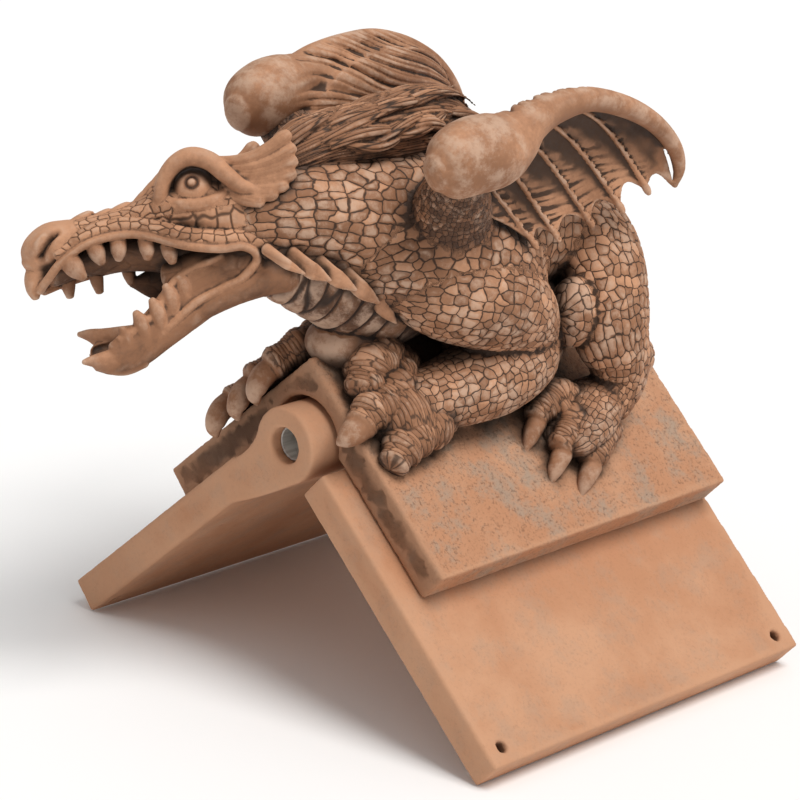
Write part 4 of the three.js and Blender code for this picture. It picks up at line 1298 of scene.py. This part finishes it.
def jawRows(rows):
    c, s = math.cos(math.radians(headShape["jawRoll"])), math.sin(math.radians(headShape["jawRoll"]))
    return [[a, q * c - v * s, base + q * s + v * c, w, h] for a, q, v, w, h, base in rows]


jawUp = (0, -math.sin(math.radians(headShape["jawRoll"])), math.cos(math.radians(headShape["jawRoll"])))


def troughSection(count=56, wall=0.24):
    # a U open at the top, walked round once: outside under the jaw, then back along the inside
    half = count // 2
    outer = np.radians(np.linspace(68, 292, half))
    inner = outer[::-1]
    s = np.concatenate([np.sin(outer), (1 - wall) * np.sin(inner)])
    t = np.concatenate([np.cos(outer), (1 - wall * 1.4) * np.cos(inner) + 0.16])
    return s, t


def pair(rows):
    return [rows, [[r[0], -r[1], *r[2:]] for r in rows]]


def earParts(side):
    # a fin of rounded flutes spread back from the end of the brow
    h = headShape
    ahead = 0 if side > 0 else 14
    made = []
    for k in range(h["earFlutes"]):
        f = k / (h["earFlutes"] - 1)
        endA = np.interp(f, [0, 0.25, 0.5, 0.75, 1], [12, 1, -6, -8.5, -6.5])
        endU = np.interp(f, [0, 0.25, 0.5, 0.75, 1], [8.0, 12, 19.5, 29, 39.5])
        startA, startU = np.interp(f, [0, 1], [28, 33]), np.interp(f, [0, 1], [15, 32])
        rows = []
        for t in (0, 0.25, 0.5, 0.75, 0.92, 1.0):
            a = startA + (endA - startA) * t + ahead * t
            u = startU + (endU - startU) * t - (1.5 + 3.5 * f) * math.sin(math.pi * t)
            out = 21.0 + 6.5 * t + 1.5 * math.sin(math.pi * t)
            width = h["earFluteWidth"] * (0.8 + 0.45 * t) * (1 - 0.3 * (t == 1.0))
            rows.append([a, side * out, u, width, width * 0.8])
        made.append(headTube(rows, "flute", around=20, perSpan=5, up=(0, 1, 0)))
    return made


def headParts():
    h = headShape
    lip = h["lipWidth"]
    parts = [
        headTube(h["skull"], "muzzle", around=90, perSpan=10),
        headTube(h["nose"], "nose", around=60, perSpan=10, shy=-0.4),
        onHead(horn(h["beak"], 7.5, "nose", tip=2.2, up=(0, 1, 0), around=28)),
        headTube(h["palate"], "mouth", around=40, perSpan=8),
        headTube([[*p, lip, lip * 0.9] for p in h["nearLip"]], "lip", around=24, perSpan=8, shy=-0.6),
        headTube([[*p, lip, lip] for p in h["farLip"]], "lip", around=24, perSpan=8, shy=-0.6),
        headTube(h["nearCheek"], "mouth", around=32),
        headTube(h["farCheek"], "mouth", around=32),
        headTube(jawRows(h["jawRear"]), "jaw", around=56, perSpan=8, up=jawUp),
        headTube(jawRows(h["jawTrough"]), "jaw", perSpan=10, up=jawUp, section=troughSection()),
        headTube([[*p, 2.5, 2.5] for p in h["toothRim"]], "lip", around=20, shy=-0.3),
        headTube(h["jawWall"], "jaw", around=28, perSpan=8, shy=0.2),
        headTube(h["forehead"], "muzzle", around=60, perSpan=8),
        *(headTube(rows, "muzzle", around=28, perSpan=8) for rows in pair(h["lipSkin"])),
        headTube([[74, 2, -50, 9, 3], [86, 1, -56, 9, 3.4], [98, 0, -58, 8, 2.5]], "mouth", around=28),
        headTube([[46, -2, -27, 8, 5], [60, -1, -34, 9, 4.5], [74, 0, -44, 8.5, 3.5],
                  [86, 0, -50, 6, 2.5]], "mouth",
                 around=32),
    ]
    for end in (1, -1):
        rows = [[a, end * q, v, w, hh, base] for a, q, v, w, hh, base in h["lobe"]]
        parts.append(headTube(jawRows(rows), "lobeTip", around=32, perSpan=8, up=jawUp))
    for *points, radius in h["upperTeeth"]:
        parts.append(onHead(horn(points, radius, "tooth", tip=2.2, up=(1, 0, 0), around=20, power=2.6)))
    for a, base, height in h["lowerTeeth"]:
        low, middle, high = jawRows([[a - 1, 13, -4, 1, 1, base], [a, 12.5, height * 0.55, 1, 1, base],
                                     [a + 2, 12, height, 1, 1, base]])
        parts.append(onHead(horn([low[:3], middle[:3], high[:3]], 5.4, "tooth", tip=1.9, up=(1, 0, 0),
                                 around=20,
                                 power=1.8)))
    for side in (1, -1):
        ex, ey, ez = h["eye"]
        parts.append(onHead(ball((ex, side * ey, ez), (h["eyeRadius"],) * 3, "eye", around=48)))
        parts[-1]["shy"] = -0.3
        parts.append(headTube([[a, side * l, u, w, hh] for a, l, u, w, hh in h["brow"]], "brow",
                              around=32, perSpan=8,
                              shy=-0.5))
        parts.append(headTube([[a, side * l, u, w, hh] for a, l, u, w, hh in h["lid"]], "brow", around=24,
                              perSpan=8,
                              shy=-0.5))
        parts += earParts(side)
    for a, u in h["scutes"]:
        parts.append(headTube([[a + 8, 0, u - 3, 6, 1.5], [a + 2, 0, u - 0.6, 6.5, 1.8],
                               [a - 3, 0, u + 0.9, 5, 1.6],
                               [a - 5, 0, u + 1.2, 3, 0.8]], "scute", around=24, shy=-0.3))
    for k in range(4):
        a = 76 - 5.5 * k
        u = 17.5 + 4.4 * k
        parts.append(headTube([[a + 4, 0, u - 3, 5, 1.6], [a, 0, u, 5.5, 1.8],
                               [a - 3.5, 0, u + 2.2, 4, 1.2]], "scute",
                              around=24, shy=-0.3))
    return parts


finishes.update({
    "muzzle": dict(cell=(5.4, 4.6), depth=0.36, clay=0.72),
    "nose": dict(cell=(30.0, 30.0), depth=0.0, clay=0.74),
    "lip": dict(cell=(80.0, 6.0), depth=0.05, clay=0.66),
    "jaw": dict(cell=(26.0, 8.0), depth=0.10, clay=0.40),
    "lobeTip": dict(cell=(30.0, 30.0), depth=0.0, clay=0.62),
    "eye": dict(cell=(30.0, 30.0), depth=0.0, clay=0.78),
    "brow": dict(cell=(60.0, 8.0), depth=0.05, clay=0.70),
    "scute": dict(cell=(30.0, 30.0), depth=0.0, clay=0.66),
})

headPieces = headParts()
head = fuse("dragon_head", headPieces, headShape["grain"], soften=2)


def carveHead():
    # nostrils, the pupil with its ring, and the crease of the lip
    co, normals = readCo(head), readNormals(head)
    push = np.zeros(len(co))
    for side in (1, -1):
        def line(*points):
            return toDrawing([[a, side * l, u] for a, l, u in points])
        stroke(co, push, line((118, 17.5, 9.5), (121, 17.5, 7), (125, 15.5, 2), (128, 12.5, -3)), 2.1, -5.0)
        stroke(co, push, line((116, 17, 12.5), (121, 16.5, 12), (127, 15, 7), (129, 12, 2)), 1.6, 0.9)
        stroke(co, push, line((104, 16, 5.2), (89, 16.6, 7), (74, 19, 5), (56, 23, -3)), 0.7, -0.6)
    writeCo(head, co + normals * push[:, None])
    co = readCo(head)
    there = toHead(co)
    normals = readNormals(head)
    push = np.zeros(len(co))
    for side in (1, -1):
        ex, ey, ez = headShape["eye"]
        axis = unit(np.array([0.10, side * 0.96, 0.30]))
        out = there - np.array([ex, side * ey, ez])
        reach = np.linalg.norm(out, axis=1)
        away = np.linalg.norm(out - (out @ axis)[:, None] * axis, axis=1)
        front = ((out @ axis) > 0) & (reach < headShape["eyeRadius"] + 1.5)
        push += front * (1.0 * np.exp(-(away / 2.0) ** 4) - 0.7 * np.exp(-((away - 3.1) / 0.8) ** 2))
    writeCo(head, co + normals * push[:, None])


carveHead()
owner = clothe(head, headPieces, fade=2)


def paintEyes():
    # the wash lies in the ring round each pupil
    there = toHead(readCo(head))
    clay = np.empty(len(there), np.float32)
    head.data.attributes["clay"].data.foreach_get("value", clay)
    for side in (1, -1):
        ex, ey, ez = headShape["eye"]
        axis = unit(np.array([0.10, side * 0.96, 0.30]))
        out = there - np.array([ex, side * ey, ez])
        away = np.linalg.norm(out - (out @ axis)[:, None] * axis, axis=1)
        front = ((out @ axis) > 0) & (np.linalg.norm(out, axis=1) < headShape["eyeRadius"] + 1.5)
        clay -= front * 0.9 * np.exp(-((away - 3.0) / 1.1) ** 2)
    writeAttribute(head, "clay", clay)


paintEyes()


def cheekRow():
    # one row of big plates runs under the eye; behind it they break up into neck plates
    there = toHead(readCo(head))
    a, l, u = there.T
    plated = owner == 0
    hideMap = np.empty(len(there) * 3, np.float32)
    layer = head.data.attributes["hideMap"]
    layer.data.foreach_get("vector", hideMap)
    hideMap = hideMap.reshape(-1, 3).astype(float)
    row = plated & (a < 70) & (a > 22) & (u > -5.5 + 0.06 * (60 - a)) & (u < 8.5) & (np.abs(l) > 8)
    hideMap[row] = np.stack([a[row] / 9.5 + 40, (u[row] - 2) / 12.5 + 60.5, 0 * a[row]], -1)
    rear = plated & (a <= 22)
    turn = np.arctan2(l, u)
    hideMap[rear] = np.stack([a[rear] / 8.5 + 70, turn[rear] * 25 / 8.0 + 90, 0 * a[rear]], -1)
    writeAttribute(head, "hideMap", hideMap)


cheekRow()
relieve(head, dragonClay, headShape["triangles"], crackWidth=0.12, swell=0.25, marks=0.07)


frillShape = dict(
    near=[[14, -24, 250], [20, -12, 246], [25, 2, 241], [29, 17, 234], [31, 33, 224], [31, 46, 211]],
    far=[[-48, 4, 246], [-45, 13, 241], [-41, 24, 234], [-36, 36, 226], [-34, 48, 214]],
    grain=0.6, triangles=30000,
)


def frillParts():
    made = []
    for line in (frillShape["near"], frillShape["far"]):
        for (x, y, z), (nx, ny, nz) in zip(line, line[1:]):
            inward = 1 if x > 0 else -1
            size = 0.6 + 0.4 * smoothStep(0, 14, abs(y + 24))
            rows = [[x - inward * 12, y + 3, z + 5, 3, 5.5 * size],
                    [x * 0.5 + nx * 0.42, y * 0.7 + ny * 0.3, z * 0.7 + nz * 0.3 + 2, 1.8, 5.0 * size],
                    [x * 0.4 + nx * 0.58, y * 0.35 + ny * 0.65, z * 0.35 + nz * 0.65 + 0.5, 1.3, 3.8 * size],
                    [nx * 1.04, ny + 1, nz - 1.5, 0.6, 0.8]]
            made.append(tube(rows, "spike", around=24, perSpan=8, seam=180))
    return made


finishes["spike"] = dict(cell=(40.0, 4.0), depth=0.10, clay=0.72)
frillPieces = frillParts()
frill = fuse("throat_frill", frillPieces, frillShape["grain"], soften=1)
clothe(frill, frillPieces, fade=2)
relieve(frill, dragonClay, frillShape["triangles"])


claySkins = [saddle, body, feet, leftWing, rightWing, mane, head, frill]
gatherPaintedShade(claySkins)

for piece, solid, rider, slotName in (
    *((skin, "dragon_on_saddle", ridgeBody, "dragon_clay") for skin in claySkins),
    (leftLeaf, "left_leaf", leafBody, "leaf_clay"),
    (rightLeaf, "right_leaf", ridgeBody, "leaf_clay"),
    (pin, "hinge_pin", ridgeBody, "pin_metal"),
):
    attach(piece, rider)
    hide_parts(solid)


studio = dict(
    eye=(1202.1, -1208.7, 764.9), azimuth=42.84, elevation=19.20, roll=3.10, lens=155.63,
    sun=2.35, sunFrom=(0.46, 0.02, 0.89), sunSpread=30.0, world=0.46, floor=0.94, floorReach=6.0,
)


def makeCamera():
    camera = bpy.data.cameras.new("camera")
    camera.lens = studio["lens"]
    camera.sensor_width = 36.0
    holder = bpy.data.objects.new("camera", camera)
    bpy.context.scene.collection.objects.link(holder)
    azimuth, elevation = math.radians(studio["azimuth"]), math.radians(studio["elevation"])
    back = np.array([math.sin(azimuth) * math.cos(elevation), -math.cos(azimuth) * math.cos(elevation),
                     math.sin(elevation)])
    level = np.array([math.cos(azimuth), math.sin(azimuth), 0.0])
    upright = np.cross(back, level)
    c, s = math.cos(math.radians(studio["roll"])), math.sin(math.radians(studio["roll"]))
    right, up = c * level + s * upright, -s * level + c * upright
    place = Matrix.Identity(4)
    eye = np.array(studio["eye"]) * mm + drawingOrigin
    for column, vector in enumerate((right, up, back, eye)):
        for row in range(3):
            place[row][column] = vector[row]
    holder.matrix_world = place
    bpy.context.scene.camera = holder


def makeStudio():
    floor = bpy.data.meshes.new("floor")
    reach = studio["floorReach"]
    floor.from_pydata([(-reach, -reach, 0), (reach, -reach, 0), (reach, reach, 0), (-reach, reach, 0)], [],
                      [[0, 1, 2, 3]])
    ground = bpy.data.objects.new("floor", floor)
    bpy.context.scene.collection.objects.link(ground)
    paper = bpy.data.materials.new("pale paper")
    paper.use_nodes = True
    paper.node_tree.nodes["Principled BSDF"].inputs["Base Color"].default_value = (*(studio["floor"],) * 3, 1)
    paper.node_tree.nodes["Principled BSDF"].inputs["Roughness"].default_value = 0.9
    floor.materials.append(paper)
    world = bpy.data.worlds.new("studio")
    bpy.context.scene.world = world
    world.use_nodes = True
    world.node_tree.nodes["Background"].inputs["Color"].default_value = (1.0, 1.0, 1.0, 1)
    world.node_tree.nodes["Background"].inputs["Strength"].default_value = studio["world"]
    sun = bpy.data.lights.new("key", "SUN")
    sun.energy = studio["sun"]
    sun.angle = math.radians(studio["sunSpread"])
    sun.color = (1.0, 0.985, 0.965)
    lamp = bpy.data.objects.new("key", sun)
    bpy.context.scene.collection.objects.link(lamp)
    lamp.rotation_euler = Vector(studio["sunFrom"]).to_track_quat("Z", "Y").to_euler()
    bpy.context.scene.view_settings.view_transform = "Standard"


makeCamera()
makeStudio()
